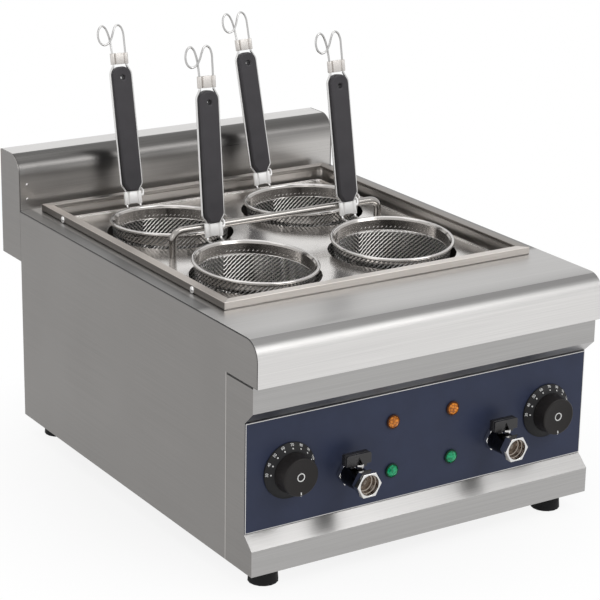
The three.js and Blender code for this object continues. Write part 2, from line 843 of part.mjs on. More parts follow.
// Cable gland with the origin on the outer face of the rear panel
function makeGland() {
  const nut = rodY(glandNutRadius, clearance, clearance + glandNutLength, 6);
  const dome = rodY(glandRadius, clearance, clearance + glandNutLength + glandDomeLength, 20);
  const tail = rodY(glandRadius, -glandTail, clearance + glandNutLength, 20);
  const bore = rodY(glandBore, -glandTail - overrun, glandNutLength + glandDomeLength + overrun, 16);
  return cut(join(nut, dome, tail), bore);
}

add(cooker, 'terminal_block', makeTerminalBlock(), creamPlastic,
  terminalX, terminalSetback, sheet + clearance);
add(cooker, 'cable_gland', makeGland(), blackPlastic, glandX, worktopRear, glandHeight);

// Basket plate

function makeBasketPlate() {
  const halfX = plateWidth / 2;
  const y0 = frameMiddle - plateDepth / 2;
  const y1 = frameMiddle + plateDepth / 2;
  const edge = plateThickness;
  const blank = slab(-halfX, halfX, y0, y1, plateBottom, plateBottom + plateRim, plateCorner);
  const dish = slab(-halfX + edge, halfX - edge, y0 + edge, y1 - edge,
    plateTop, plateTop + plateRim, plateCorner - edge);
  const holes = [-0.5, 0.5].flatMap((column) => [0, 1].map((row) => (
    rodZ(holeRadius, plateBottom - overrun, plateTop + overrun, 32)
      .translate(column * basketSpacingX, frontRowSetback + row * basketSpacingY, 0))));
  return cut(blank, dish, ...holes);
}

function makeLiftHandle() {
  const half = liftWidth / 2;
  const foot = plateTop + clearance;
  const top = plateTop + liftHeight;
  const path = bent([
    point(-half, liftSetback, foot), point(-half, liftSetback, top),
    point(half, liftSetback, top), point(half, liftSetback, foot),
  ], liftBend, 6);
  return wire(path, liftTubeRadius, 10);
}

add(cooker, 'basket_plate', makeBasketPlate(), polishedSteel);
add(cooker, 'plate_handle', makeLiftHandle(), polishedSteel);

// Baskets

// Openings through the bowl's wall, one in each face of the turned wall and in every row
function wallOpenings() {
  const low = -basketDepth + bowlCorner;
  const rise = (-bandHeight - low) / meshRows;
  const half = bowlBottomRadius * Math.sin(Math.PI / meshColumns) - meshBar / 2;
  const openings = [];
  for (let row = 0; row < meshRows; row += 1) {
    const z0 = low + row * rise + meshBar / 2;
    const z1 = z0 + rise - meshBar;
    for (let column = 0; column < meshColumns; column += 1) {
      const angle = ((column + 0.5) / meshColumns) * Math.PI * 2;
      openings.push(block(bowlFloorRadius, bowlTopRadius + overrun, -half, half, z0, z1).rotateZ(angle));
    }
  }
  return openings;
}

// Openings through the bowl's floor: short slots in rows, with a bar across their middle
function floorOpenings() {
  const reach = bowlFloorRadius - meshFloorMargin;
  const pitch = (reach * meshSlotShare * 2) / meshSlots;
  const z0 = -basketDepth - overrun;
  const z1 = -basketDepth + bowlWall + overrun;
  const openings = [];
  for (let slot = 0; slot < meshSlots; slot += 1) {
    const y0 = (slot - meshSlots / 2) * pitch + meshBar / 2;
    const y1 = y0 + pitch - meshBar;
    const end = Math.sqrt(reach ** 2 - Math.max(y0 ** 2, y1 ** 2));
    openings.push(block(-end, -meshBar / 2, y0, y1, z0, z1));
    openings.push(block(meshBar / 2, end, y0, y1, z0, z1));
  }
  return openings;
}

// Bowl with its rim wire, the origin in the middle of the rim
function makeBowl() {
  const floor = -basketDepth;
  const shoulder = floor + bowlCorner;
  const inner = bowlTopRadius - bowlWall;
  const rim = rimTurnShares.map((share) => {
    const angle = share * Math.PI;
    return [rimRadius + rimWire * Math.cos(angle), rimWire * Math.sin(angle)];
  });
  const bowl = turnedZ([
    [0, floor], [bowlFloorRadius, floor], [bowlBottomRadius, shoulder], [bowlTopRadius, -bandHeight],
    ...rim,
    [inner, -bandHeight], [bowlBottomRadius - bowlWall, shoulder], [bowlFloorRadius, floor + bowlWall],
    [0, floor + bowlWall],
  ], meshColumns);
  return cut(bowl, ...wallOpenings(), ...floorOpenings());
}

const halfRods = rodSpacing / 2;
const gripBottom = lowerClampHeight + clampGap;
const gripTop = gripBottom + gripLength;
const upperClampBottom = gripTop + upperClampGap;
const wireTop = upperClampBottom + upperClampHeight;
const rodOut = gripWidth / 2 + rodRadius + rodGap;

// A place given from the handle's foot along the basket's own axes, as the leaning handle sees it
function fromBasket(x, y, z) {
  const lean = THREE.MathUtils.degToRad(handleLean);
  return point(x, y * Math.cos(lean) - z * Math.sin(lean), y * Math.sin(lean) + z * Math.cos(lean));
}

// One side of the two rods, from under the rim up to the top of the upper clamp
function rodPath(side) {
  const x = side * halfRods;
  const under = -rimWire - rodRadius - clearance;
  const swing = gripTopRadius + rodRadius + rodGap;
  const pivotX = gripWidth / 2 - gripTopRadius;
  const pivotZ = gripTop - gripTopRadius;
  const turn = Math.PI / 12;
  const corner = swing * Math.sin(turn * 3) / Math.cos(turn);
  const foot = bent([
    fromBasket(x, rimRadius - handleOffset, under),
    fromBasket(x, under * Math.tan(THREE.MathUtils.degToRad(handleLean)), under),
    point(x, 0, lowerClampHeight),
  ], rodFootBend, 2);
  const shaft = bent([
    point(x, 0, lowerClampHeight - rodBend), point(x, 0, lowerClampHeight + rodBend),
    point(side * rodOut, 0, gripBottom + gripChamferHeight * 0.8),
    point(side * rodOut, 0, pivotZ + swing * Math.tan(turn)),
    point(side * (pivotX + corner), 0, pivotZ + corner),
    point(x, 0, upperClampBottom - rodBend), point(x, 0, wireTop),
  ], rodBend, 1);
  return [...foot.slice(0, -1), ...shaft];
}

// The loop and the arch above the upper clamp, as shares of the rod spacing and of their heights
function loopPath() {
  const pass = rodRadius + clearance;
  const loopMiddle = -halfRods - loopWidth * 0.72;
  const loopBase = archHeight - loopHeight;
  const crossing = loopBase + loopHeight * 0.16;
  const wide = loopWidth / 2;
  const middle = loopBase + loopHeight / 2;
  return new THREE.CatmullRomCurve3([
    point(-halfRods, 0, wireTop),
    point(-halfRods, pass, wireTop + crossing),
    point(loopMiddle + wide, pass, wireTop + middle),
    point(loopMiddle + wide * 0.7, pass, wireTop + middle + loopHeight * 0.35),
    point(loopMiddle, pass * 0.5, wireTop + archHeight),
    point(loopMiddle - wide, 0, wireTop + middle),
    point(loopMiddle, -pass * 0.5, wireTop + loopBase),
    point(-halfRods, -pass, wireTop + crossing),
    point(-halfRods * 0.5, -pass, wireTop + middle + loopHeight * 0.3),
    point(halfRods * 0.15, -pass * 0.5, wireTop + archHeight),
    point(halfRods * 0.85, 0, wireTop + middle + loopHeight * 0.3),
    point(halfRods, 0, wireTop + middle * 0.4),
    point(halfRods, 0, wireTop),
  ], false, 'centripetal').getPoints(24);
}

function makeHandleWire() {
  const loops = loopPath().slice(1, -1);
  return wire([...rodPath(-1), ...loops, ...rodPath(1).reverse()], rodRadius, 6);
}

// Grip in the handle's plane, with its chamfered foot and its hanging hole
function makeGrip() {
  const half = gripWidth / 2;
  const shape = new THREE.Shape();
  shape.moveTo(-half + gripChamferWidth, gripBottom);
  shape.lineTo(half - gripChamferWidth, gripBottom);
  shape.lineTo(half, gripBottom + gripChamferHeight);
  shape.absarc(half - gripTopRadius, gripTop - gripTopRadius, gripTopRadius, 0, Math.PI / 2, false);
  shape.absarc(-half + gripTopRadius, gripTop - gripTopRadius, gripTopRadius, Math.PI / 2, Math.PI, false);
  shape.lineTo(-half, gripBottom + gripChamferHeight);
  const hole = new THREE.Path();
  hole.absarc(0, gripTop - gripHoleDrop, gripHoleRadius, 0, Math.PI * 2, true);
  shape.holes.push(hole);
  const depth = gripThickness - gripBevel * 2;
  const geometry = new THREE.ExtrudeGeometry(shape, {
    depth, bevelThickness: gripBevel, bevelSize: gripBevel, bevelOffset: -gripBevel,
    bevelSegments: 1, curveSegments: 3,
  });
  return geometry.translate(0, 0, -depth / 2).rotateX(Math.PI / 2);
}

// A metal band round both rods
function makeClamp(z0, height) {
  const half = halfRods + rodRadius + clearance + clampWall;
  const shape = roundedRectangle(-half, half, -clampDepth / 2, clampDepth / 2, clampDepth * 0.45);
  const bores = [-halfRods, halfRods].map((x) => (
    rodZ(rodRadius + clearance, z0 - overrun, z0 + height + overrun, 8).translate(x, 0, 0)));
  return cut(extrudeZ(shape, z0, z0 + height, 1), ...bores);
}

// Place of the lifting tube as the front baskets' handles see it: (back, up)
function tubeFromHandle(rimHeight) {
  const tilt = THREE.MathUtils.degToRad(frontTilt);
  const lean = THREE.MathUtils.degToRad(handleLean - frontTilt);
  const back = liftSetback - frontRowSetback - handleOffset * Math.cos(tilt);
  const up = plateTop + liftHeight - rimHeight - handleOffset * Math.sin(tilt);
  return [back * Math.cos(lean) - up * Math.sin(lean), back * Math.sin(lean) + up * Math.cos(lean)];
}

// Lower clamp with the short hook that catches the lifting tube
function makeLowerClamp(rimHeight) {
  const [back, up] = tubeFromHandle(rimHeight);
  const turn = liftTubeRadius + hookRadius + clearance * 2;
  const arc = hookTurnShares.map((share) => {
    const angle = share * Math.PI;
    return point(hookReach, back + turn * Math.cos(angle), up + turn * Math.sin(angle));
  });
  const root = halfRods + rodRadius + clearance + clampWall / 2;
  const rootHeight = lowerClampHeight * 0.65;
  const path = [point(root, 0, rootHeight), point((root + hookReach) / 2, 0, rootHeight), ...arc];
  return join(makeClamp(0, lowerClampHeight), wire(path, hookRadius, 6));
}

// Height of a basket's rim when its tilted floor stands on the rack
function rimHeightFor(tiltX, tiltY) {
  const upright = Math.cos(tiltX) * Math.cos(tiltY);
  const slant = Math.sqrt(1 - upright * upright);
  return rackTop + clearance + basketDepth * upright + bowlFloorRadius * slant;
}

const frontRimHeight = rimHeightFor(THREE.MathUtils.degToRad(frontTilt), THREE.MathUtils.degToRad(toeIn));

function addBasket(place, column, row) {
  const tiltX = THREE.MathUtils.degToRad(row === 0 ? frontTilt : rearTilt);
  const tiltY = THREE.MathUtils.degToRad(-column * toeIn);
  const basket = new THREE.Group();
  basket.position.set(
    column * basketSpacingX / 2, frontRowSetback + row * basketSpacingY, rimHeightFor(tiltX, tiltY));
  basket.rotation.set(tiltX, tiltY, 0);
  cooker.add(basket);
  const handle = new THREE.Group();
  handle.position.set(0, handleOffset, 0);
  handle.rotation.set(THREE.MathUtils.degToRad(-handleLean), 0, 0);
  basket.add(handle);
  add(basket, `basket_${place}`, makeBowl(), polishedSteel);
  add(handle, `handle_wire_${place}`, makeHandleWire(), polishedSteel);
  add(handle, `grip_${place}`, makeGrip(), blackPlastic);
  add(handle, `lower_clamp_${place}`, makeLowerClamp(frontRimHeight), polishedSteel);
  add(handle, `upper_clamp_${place}`, makeClamp(upperClampBottom, upperClampHeight), polishedSteel);
}

addBasket('front_left', -1, 0);
addBasket('front_right', 1, 0);
addBasket('rear_left', -1, 1);
addBasket('rear_right', 1, 1);

export default cooker;
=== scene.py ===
import math

import bpy
import numpy as np
from mathutils import Matrix, Vector


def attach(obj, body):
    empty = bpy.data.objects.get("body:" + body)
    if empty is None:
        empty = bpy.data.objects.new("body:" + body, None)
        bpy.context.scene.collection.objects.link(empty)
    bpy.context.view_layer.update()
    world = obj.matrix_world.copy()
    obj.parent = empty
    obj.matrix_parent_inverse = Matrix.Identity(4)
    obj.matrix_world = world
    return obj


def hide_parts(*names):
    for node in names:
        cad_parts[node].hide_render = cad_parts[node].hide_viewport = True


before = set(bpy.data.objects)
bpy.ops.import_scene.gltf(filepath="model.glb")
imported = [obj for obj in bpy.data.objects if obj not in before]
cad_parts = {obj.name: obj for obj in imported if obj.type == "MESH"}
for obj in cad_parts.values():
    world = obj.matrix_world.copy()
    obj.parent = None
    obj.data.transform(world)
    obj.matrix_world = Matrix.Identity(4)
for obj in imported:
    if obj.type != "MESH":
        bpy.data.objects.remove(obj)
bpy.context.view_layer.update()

MM = 0.001
DEG = math.pi / 180
SIDES = (("left", -1), ("right", 1))
SIDEWAYS = ((1, 0, 0), (-1, 0, 0))

# Degrees from which an edge stays sharp, and the places of a Mix node's sockets for colours
SHARP = 32
MIX_A, MIX_B, MIX_RESULT = 6, 7, 2

# Sizes in millimetres, measured back from the front lip and up from the underside of the housing
ORIGIN = Vector((0, -258.75, 20))
CLEARANCE = 0.3
FRAME_SIDE, FRAME_FRONT, FRAME_REAR = 180, 93, 478
FRAME_BOTTOM, FRAME_TOP, FRAME_BAR, FRAME_LEG, FRAME_LIP = 234.3, 242, 10, 2, 2.5
PLATE_TOP = 225.8
LIFT_HALF, LIFT_Y, LIFT_HEIGHT, LIFT_RADIUS, LIFT_BEND = 126, 287.5, 26.5, 4, 15
SEAT = 20.6
UPSTAND_FRONT = 491
SCREW_ROWS, SCREW_Z = (153, 427), 237.6
RIVET_X, RIVET_ROWS = -190.8, (262, 246)

# One basket, from the middle of its rim
COLUMN, FRONT_ROW, REAR_ROW = 82.5, 196.8, 369.8
RACK_TOP, BASKET_DEPTH = 105, 130.4
RIM_RADIUS, RIM_WIRE = 62.7, 1.8
BOWL_TOP, BOWL_FLOOR, BOWL_CORNER, BOWL_WALL = 61.4, 44, 8, 1.2
BAND_TOP, BAND_HEIGHT, BAND_SHEET = 1.2, 12.5, 0.6
RIM_STEPS = 120
FRONT_TILT, REAR_TILT, TOE_IN = 3.5, -1.8, 1.5
WEAVE_THICK, WEAVE_WIRE, WEAVE_LIFT, WEAVE_START, WEAVE_PITCH = 0.64, 0.22, 0.8, 2, 3.2
WEAVE_COUNT, WEAVE_SLANT = 80, 57

# Basket handle, up from the bottom of its lower clamp
HANDLE_OFFSET, HANDLE_LEAN = 82, 12
ROD_RADIUS, HALF_RODS, ROD_BEND, ROD_FOOT_BEND, ROD_GAP = 1.25, 8, 1.6, 4.2, 0.5
LOWER_CLAMP, UPPER_CLAMP, CLAMP_WALL = 14.1, 12, 1
CLAMP_PLATE, CLAMP_PLATE_DEPTH, CLAMP_GROOVE, CLAMP_GROOVE_DEPTH = 4.6, 2.3, 5.4, 0.4
GRIP_WIDTH, GRIP_THICKNESS, GRIP_BEVEL, GRIP_TOP_RADIUS = 21.6, 10, 1.8, 10
GRIP_CHAMFER_WIDTH, GRIP_CHAMFER_HEIGHT = 5.6, 9
GRIP_HOLE_RADIUS, GRIP_HOLE_DROP = 2.3, 12
GRIP_BOTTOM, GRIP_TOP = 14.4, 149.4
UPPER_CLAMP_BOTTOM, WIRE_TOP = 152, 164
LOOP_WIRE = 1.1
HOOK_RADIUS, HOOK_REACH = 1.2, 14.2

# Controls
KNOB_X, KNOB_Z = 152, 94.05
DIAL_RADIUS, DIAL_TOP_RADIUS, DIAL_THICKNESS, DIAL_EDGE = 28, 20.5, 6.4, 1.4
KNOB_RADIUS, KNOB_FACE_RADIUS, KNOB_LENGTH = 20, 18.8, 15
LAMP_X, LAMP_PITCH = 35.2, 50.5
PANEL_HALF_WIDTH, PANEL_BOTTOM, PANEL_TOP, PANEL_FACE = 199.5, 39.1, 149, 20.9
TAP_X, TAP_Z, TAP_FACE, STEM_Y = 87, 78.5, -18.5, 4.5
TAP_HEXAGON, TAP_NUT, TAP_BORE, LEVER_DEPTH = 23.6, 21.65, 10.2, 9
FIRST_MARK, MARK_STEP = 177.65, 22.565
DOT_PLACE, NUMBER_PLACE, NUMBER_SIZE = 22.95, 26, 2.8


# Materials

def blank(name, **values):
    """A new material, its shader and its node tree, with plain numbers on the shader's own sockets."""
    material = bpy.data.materials.new(name)
    material.use_nodes = True
    tree = material.node_tree
    shader = tree.nodes["Principled BSDF"]
    for key, value in values.items():
        socket = shader.inputs[key.replace("_", " ")]
        socket.default_value = (*value, 1) if isinstance(value, tuple) else value
    return material, shader, tree


def node(tree, kind, *links, **settings):
    """A new node: each link goes to the input at its place, each setting to the property or input it names."""
    made = tree.nodes.new(kind)
    for key, value in settings.items():
        if hasattr(made, key):
            setattr(made, key, value)
        else:
            made.inputs[key.replace("_", " ")].default_value = value
    for link, socket in zip(links, made.inputs):
        tree.links.new(link, socket)
    return made


def place(tree, scale=(1, 1, 1)):
    coordinates = node(tree, "ShaderNodeTexCoord").outputs["Object"]
    return node(tree, "ShaderNodeMapping", coordinates, Scale=scale).outputs["Vector"]


def remap(tree, value, start, end, low=0.0, high=1.0):
    """A number moved from one range to another and held at its ends."""
    return node(tree, "ShaderNodeMapRange", value, From_Min=start, From_Max=end, To_Min=low,
                To_Max=high).outputs["Result"]


def spread(tree, value, low, high):
    """A texture's grey value, moved to a range of numbers."""
    return remap(tree, value, 0.25, 0.75, low, high)


def tint(tree, value, dark, light):
    """A texture's grey value as a colour between two."""
    ramp = node(tree, "ShaderNodeValToRGB", value)
    for stop, position, colour in zip(ramp.color_ramp.elements, (0.3, 0.7), (dark, light)):
        stop.position = position
        stop.color = (*colour, 1)
    return ramp.outputs["Color"]


def tone(grey, warm):
    """A grey that is warm where the second number is under 1."""
    return grey, grey * warm, grey * warm * warm


def noise(tree, vector, scale, detail=3.0, roughness=0.5):
    return node(tree, "ShaderNodeTexNoise", vector, Scale=scale, Detail=detail,
                Roughness=roughness).outputs["Fac"]


def bump(tree, shader, value, strength, distance):
    made = node(tree, "ShaderNodeBump", Strength=strength, Distance=distance)
    tree.links.new(value, made.inputs["Height"])
    tree.links.new(made.outputs["Normal"], shader.inputs["Normal"])


def surface(tree, shader, colour, roughness, relief, strength, distance=0.0002):
    """Joins a colour, a roughness and a bump to the shader."""
    tree.links.new(colour, shader.inputs["Base Color"])
    tree.links.new(roughness, shader.inputs["Roughness"])
    bump(tree, shader, relief, strength, distance)


def shaded(tree, colour, share, factor):
    """A colour that is multiplied by a factor, darker or brighter, as a share goes from 0 to 1."""
    mixed = node(tree, "ShaderNodeMix", share, data_type="RGBA", blend_type="MULTIPLY")
    mixed.inputs[MIX_B].default_value = (factor, factor, factor, 1)
    tree.links.new(colour, mixed.inputs[MIX_A])
    return mixed.outputs[MIX_RESULT]


def towards(tree, axis, start, end):
    """0 at one place along an axis, in metres, and 1 at another; the axis "side" is X counted both ways."""
    spot = node(tree, "ShaderNodeSeparateXYZ", node(tree, "ShaderNodeTexCoord").outputs["Object"])
    along = spot.outputs["X" if axis == "side" else axis]
    if axis == "side":
        along = node(tree, "ShaderNodeMath", along, operation="ABSOLUTE").outputs[0]
    return remap(tree, along, start, end)


def outward_shade(tree):
    """1 on the sides of a wire that look away from the Z axis, 0 on those that look towards it: a mask for
    painted shade.
    """
    coordinates = node(tree, "ShaderNodeTexCoord")
    flat = node(tree, "ShaderNodeVectorMath", coordinates.outputs["Object"], operation="MULTIPLY")
    flat.inputs[1].default_value = (1, 1, 0)
    outward = node(tree, "ShaderNodeVectorMath", flat.outputs[0], operation="NORMALIZE")
    facing = node(tree, "ShaderNodeVectorMath", outward.outputs[0], coordinates.outputs["Normal"],
                  operation="DOT_PRODUCT")
    return remap(tree, facing.outputs["Value"], -0.1, 0.4)


def brushed(name, grey, grain, rough=(0.28, 0.4), warm=0.985, strength=0.12, fades=()):
    """Brushed steel whose fine lines run along one axis, with a faint cloudiness over them.

    Each fade paints light or shade: a factor on the colour, followed by an axis, the place where it starts and
    the place where it is complete; one with several axes works where all of them do.
    """
    material, shader, tree = blank(name, Metallic=1.0)
    lines = noise(tree, place(tree, grain), 1.0, 4.0, 0.6)
    clouds = noise(tree, place(tree), 9.0, 2.0)
    colour = tint(tree, lines, tone(grey * 0.93, warm), tone(grey * 1.07, warm))
    for factor, first, *others in fades:
        share = towards(tree, *first)
        for other in others:
            both = node(tree, "ShaderNodeMath", share, towards(tree, *other), operation="MULTIPLY")
            share = both.outputs[0]
        colour = shaded(tree, colour, share, factor)
    mixed = node(tree, "ShaderNodeMix", data_type="FLOAT", Factor=0.5)
    tree.links.new(lines, mixed.inputs["A"])
    tree.links.new(clouds, mixed.inputs["B"])
    surface(tree, shader, colour, spread(tree, mixed.outputs["Result"], *rough), lines, strength)
    return material


def polished(name, grey, rough, warm=0.99, scale=60.0, metallic=1.0, outward=None):
    """Bright steel or nickel with faint smears in its polish; outward is a factor of painted shade on what
    faces outwards.
    """
    material, shader, tree = blank(name, Metallic=metallic)
    smears = noise(tree, place(tree, (1, 1, 0.35)), scale, 4.0, 0.6)
    colour = tint(tree, smears, tone(grey * 0.95, warm), tone(grey, warm))
    if outward:
        colour = shaded(tree, colour, outward_shade(tree), outward)
    surface(tree, shader, colour, spread(tree, smears, *rough), smears, 0.03)
    return material


def moulded(name, colour, rough, grain=1400.0, strength=0.15, contrast=0.12, gloss=0.2):
    """Moulded plastic or rubber with a fine spark-eroded grain."""
    material, shader, tree = blank(name, Specular_IOR_Level=gloss)
    fine = noise(tree, place(tree), grain, 2.0)
    broad = noise(tree, place(tree), 45.0, 3.0)
    dark, light = (tuple(c * (1 + change) for c in colour) for change in (-contrast, contrast))
    surface(tree, shader, tint(tree, broad, dark, light), spread(tree, broad, *rough), fine, strength, 0.0001)
    return material


def lens(name, deep, bright):
    """Tinted lens over a lamp: clear colour with a glow deep inside it."""
    material, shader, tree = blank(name, Roughness=0.12, IOR=1.49, Specular_IOR_Level=0.3, Coat_Weight=0.2,
                                   Emission_Strength=0.25)
    cells = node(tree, "ShaderNodeTexVoronoi", place(tree), Scale=420.0).outputs["Distance"]
    colour = tint(tree, cells, bright, deep)
    tree.links.new(colour, shader.inputs["Base Color"])
    tree.links.new(colour, shader.inputs["Emission Color"])
    bump(tree, shader, cells, 0.2, 0.0003)
    return material


ALONG_X, ALONG_Y = (6, 900, 900), (900, 6, 900)

# Where painted light and shade go on a finish: an axis, where the change starts and where it is complete, in
# metres of the part
SHADE_BESIDE_FRAME, BEHIND_FRONT = ("side", 0.185, 0.188), ("Y", -0.156, -0.148)
SHADE_TO_FRONT_EDGE, LIP_TOP_SHADE = ("Y", -0.222, -0.242), ("Z", 0.238, 0.25)
# A painted highlight along the seam near the front of a side, and a painted shade line in the seam below it
SEAM_HIGHLIGHT = ("Y", -0.2038, -0.2036), ("Y", -0.2022, -0.2024), ("Z", 0.2092, 0.209)
SEAM_SHADE = ("Y", -0.2036, -0.2038), ("Z", 0.207, 0.2074), ("Z", 0.2094, 0.2092)
UPSTAND_TOP_SHADE, TANK_WALL_SHADE = ("Z", 0.284, 0.303), ("Z", 0.245, 0.236)

# The worktop is painted darker on the strip beside the frame and towards its front edge: painted shade
top_steel = brushed("worktop steel", 0.47, ALONG_X, fades=[
    (0.42, SHADE_BESIDE_FRAME, BEHIND_FRONT), (0.84, SHADE_TO_FRONT_EDGE),
])
# The front lip is a brighter copy of the worktop steel, painted light, with painted shade darkening its top
lit_lip_steel = brushed("lit lip steel", 0.7, ALONG_X, (0.36, 0.46), fades=[(0.34, LIP_TOP_SHADE)])
# A brighter copy of the housing steel: painted highlight on the upstand's top and the panel's edge
highlight_steel = brushed("highlight steel", 0.65, ALONG_X)
# Near-black steel on the worktop's sideways faces: painted shade in the joints
joint_shade_steel = brushed("joint shade steel", 0.05, ALONG_Y)
# A darker copy of the housing steel for the sides, upstand caps and rear panel: painted shade
shaded_side_steel = brushed("side steel", 0.24, ALONG_Y, (0.36, 0.5), 0.965, fades=[
    (2.0, *SEAM_HIGHLIGHT), (0.08, *SEAM_SHADE),
])
front_steel = brushed("front steel", 0.4, ALONG_X)
# The upstand is painted darker towards its rounded top: painted shade
upstand_steel = brushed("upstand steel", 0.5, ALONG_X, (0.24, 0.34), 0.97, fades=[(0.22, UPSTAND_TOP_SHADE)])
# Copies of one frame steel: the front bar lit, the left, rear and right bars and the outer faces painted
# darker for shade
rail_steel = brushed("frame steel", 0.6, ALONG_X, (0.34, 0.46), 0.94)
rail_steel_deep_shaded = brushed("frame steel along shaded", 0.46, ALONG_Y, (0.34, 0.46), 0.92)
rail_steel_rear_shaded = brushed("frame rear shaded steel", 0.36, ALONG_X, (0.3, 0.42), 0.94)
rail_steel_right_shaded = brushed("frame right shaded steel", 0.24, ALONG_Y, (0.3, 0.42), 0.92)
rail_steel_side_shaded = brushed("frame side shaded steel", 0.2, ALONG_Y, (0.3, 0.4), 0.92)
inner_steel = brushed("inner steel", 0.3, ALONG_X, (0.35, 0.5))
# The tank wall is painted darker from just under the frame downwards: painted shade
tank_steel = brushed("tank steel", 0.56, ALONG_X, (0.26, 0.36), 0.95, 0.05, [(0.14, TANK_WALL_SHADE)])
plate_steel = polished("plate steel", 0.72, (0.14, 0.24), 0.97, 35.0)
tube_steel = polished("tube steel", 0.34, (0.14, 0.24), 0.95)
band_steel = polished("band steel", 0.42, (0.1, 0.2), 0.95)
rim_steel = polished("rim steel", 0.56, (0.05, 0.12), 0.97)
wire_steel = polished("wire steel", 0.66, (0.14, 0.26), scale=220.0)
# The loops are a darker copy of the wire steel: painted dark reflection
shaded_loop_steel = polished("shaded loop steel", 0.5, (0.14, 0.26), scale=220.0)
# The weave wires are painted darker on their outward sides: painted shade
weave_steel = polished("weave steel", 0.92, (0.26, 0.38), 0.97, 400.0, outward=0.3)
# A darker copy of the weave steel for the thinner wires: painted shade
shaded_thin_weave_steel = polished("shaded thin weave steel", 0.3, (0.3, 0.42), 0.97, 400.0, outward=0.6)
nickel = polished("nickel", 0.74, (0.1, 0.2), scale=150.0)
clamp_steel = polished("clamp steel", 0.94, (0.4, 0.55), scale=150.0, metallic=0.45)
cap_steel = polished("upper clamp steel", 0.68, (0.4, 0.55), 0.955, 150.0, metallic=0.6)
chrome = polished("chrome", 0.72, (0.05, 0.1), scale=120.0)
dark_chrome = polished("dark chrome", 0.05, (0.12, 0.22), scale=120.0)
bore_steel = polished("bore steel", 0.3, (0.16, 0.28), 0.86, 150.0)
heater_steel = polished("heater steel", 0.2, (0.3, 0.45), scale=150.0)
overlay_blue = moulded("panel overlay", (0.031, 0.039, 0.074), (0.34, 0.44), 2600.0, 0.08, 0.06)
grip_black = moulded("grip plastic", (0.06, 0.057, 0.062), (0.36, 0.5))
knob_black = moulded("knob plastic", (0.018, 0.016, 0.0155), (0.38, 0.5))
dial_black = moulded("dial plastic", (0.017, 0.017, 0.018), (0.45, 0.6))
lever_black = moulded("lever plastic", (0.02, 0.019, 0.02), (0.2, 0.3), gloss=0.5)
rubber = moulded("foot rubber", (0.01, 0.01, 0.011), (0.6, 0.8), 900.0, 0.3)
inner_plastic = moulded("inner plastic", (0.62, 0.58, 0.48), (0.45, 0.6))
mark_white = moulded("mark white", (0.78, 0.78, 0.77), (0.4, 0.5), 900.0, 0.05, 0.03)
amber = lens("amber lens", (0.26, 0.075, 0.004), (0.68, 0.22, 0.015))
green = lens("green lens", (0.0, 0.16, 0.065), (0.005, 0.33, 0.135))
amber_rim = moulded("amber rim", (0.07, 0.022, 0.006), (0.3, 0.4))
green_rim = moulded("green rim", (0.004, 0.04, 0.018), (0.3, 0.4))


# Mesh helpers

def make(name, points, faces, material, body, slot, stands_for=(), sharp=SHARP):
    """A piece from points in millimetres."""
    mesh = bpy.data.meshes.new(name)
    mesh.from_pydata([tuple(p) for p in np.asarray(points, float) * MM], [], faces)
    mesh.materials.append(material)
    return show(name, mesh, body, stands_for, Matrix.Translation(ORIGIN * MM), sharp)


def show(name, mesh, body, stands_for, matrix, sharp=SHARP):
    """A smooth-shaded piece that rides on a body."""
    mesh.polygons.foreach_set("use_smooth", [True] * len(mesh.polygons))
    mesh.set_sharp_from_angle(angle=sharp * DEG)
    piece = bpy.data.objects.new(name, mesh)
    bpy.context.scene.collection.objects.link(piece)
    piece.matrix_world = matrix
    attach(piece, body)
    if stands_for:
        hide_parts(*stands_for)
    return piece


def join_parts(parts):
    """Points and faces of several parts as one list."""
    points, faces, base = [], [], 0
    for some_points, some_faces in parts:
        points.append(np.asarray(some_points, float))
        faces.extend([tuple(i + base for i in face) for face in some_faces])
        base += len(some_points)
    return np.concatenate(points), faces


def strips(rows, count, closed=False):
    """Faces between rows of points that are rings of the same count."""
    faces = []
    for row in range(rows if closed else rows - 1):
        after = (row + 1) % rows
        for i in range(count):
            j = (i + 1) % count
            faces.append((row * count + i, row * count + j, after * count + j, after * count + i))
    return faces


def lathe(profile, segments, axis="z", closed=False):
    """Turned form. The profile is (radius, height); with axis -y the height points to the front."""
    rings, points, faces = [], [], []
    for radius, height in profile:
        start = len(points)
        if radius < 1e-6:
            points.append((0, 0, height))
            rings.append([start] * segments)
            continue
        for i in range(segments):
            angle = 2 * math.pi * i / segments
            points.append((radius * math.cos(angle), radius * math.sin(angle), height))
        rings.append(list(range(start, start + segments)))
    pairs = list(zip(rings, rings[1:])) + ([(rings[-1], rings[0])] if closed else [])
    for low, high in pairs:
        for i in range(segments):
            j = (i + 1) % segments
            face = tuple(dict.fromkeys((low[i], low[j], high[j], high[i])))
            if len(face) > 2:
                faces.append(face)
    points = np.array(points, float)
    if axis == "-y":
        points = np.stack([points[:, 0], -points[:, 2], points[:, 1]], 1)
    elif axis == "x":
        points = np.stack([points[:, 2], points[:, 0], points[:, 1]], 1)
    return points, faces


def moved(part, x=0, y=0, z=0):
    points, faces = part
    return points + np.array((x, y, z), float), faces


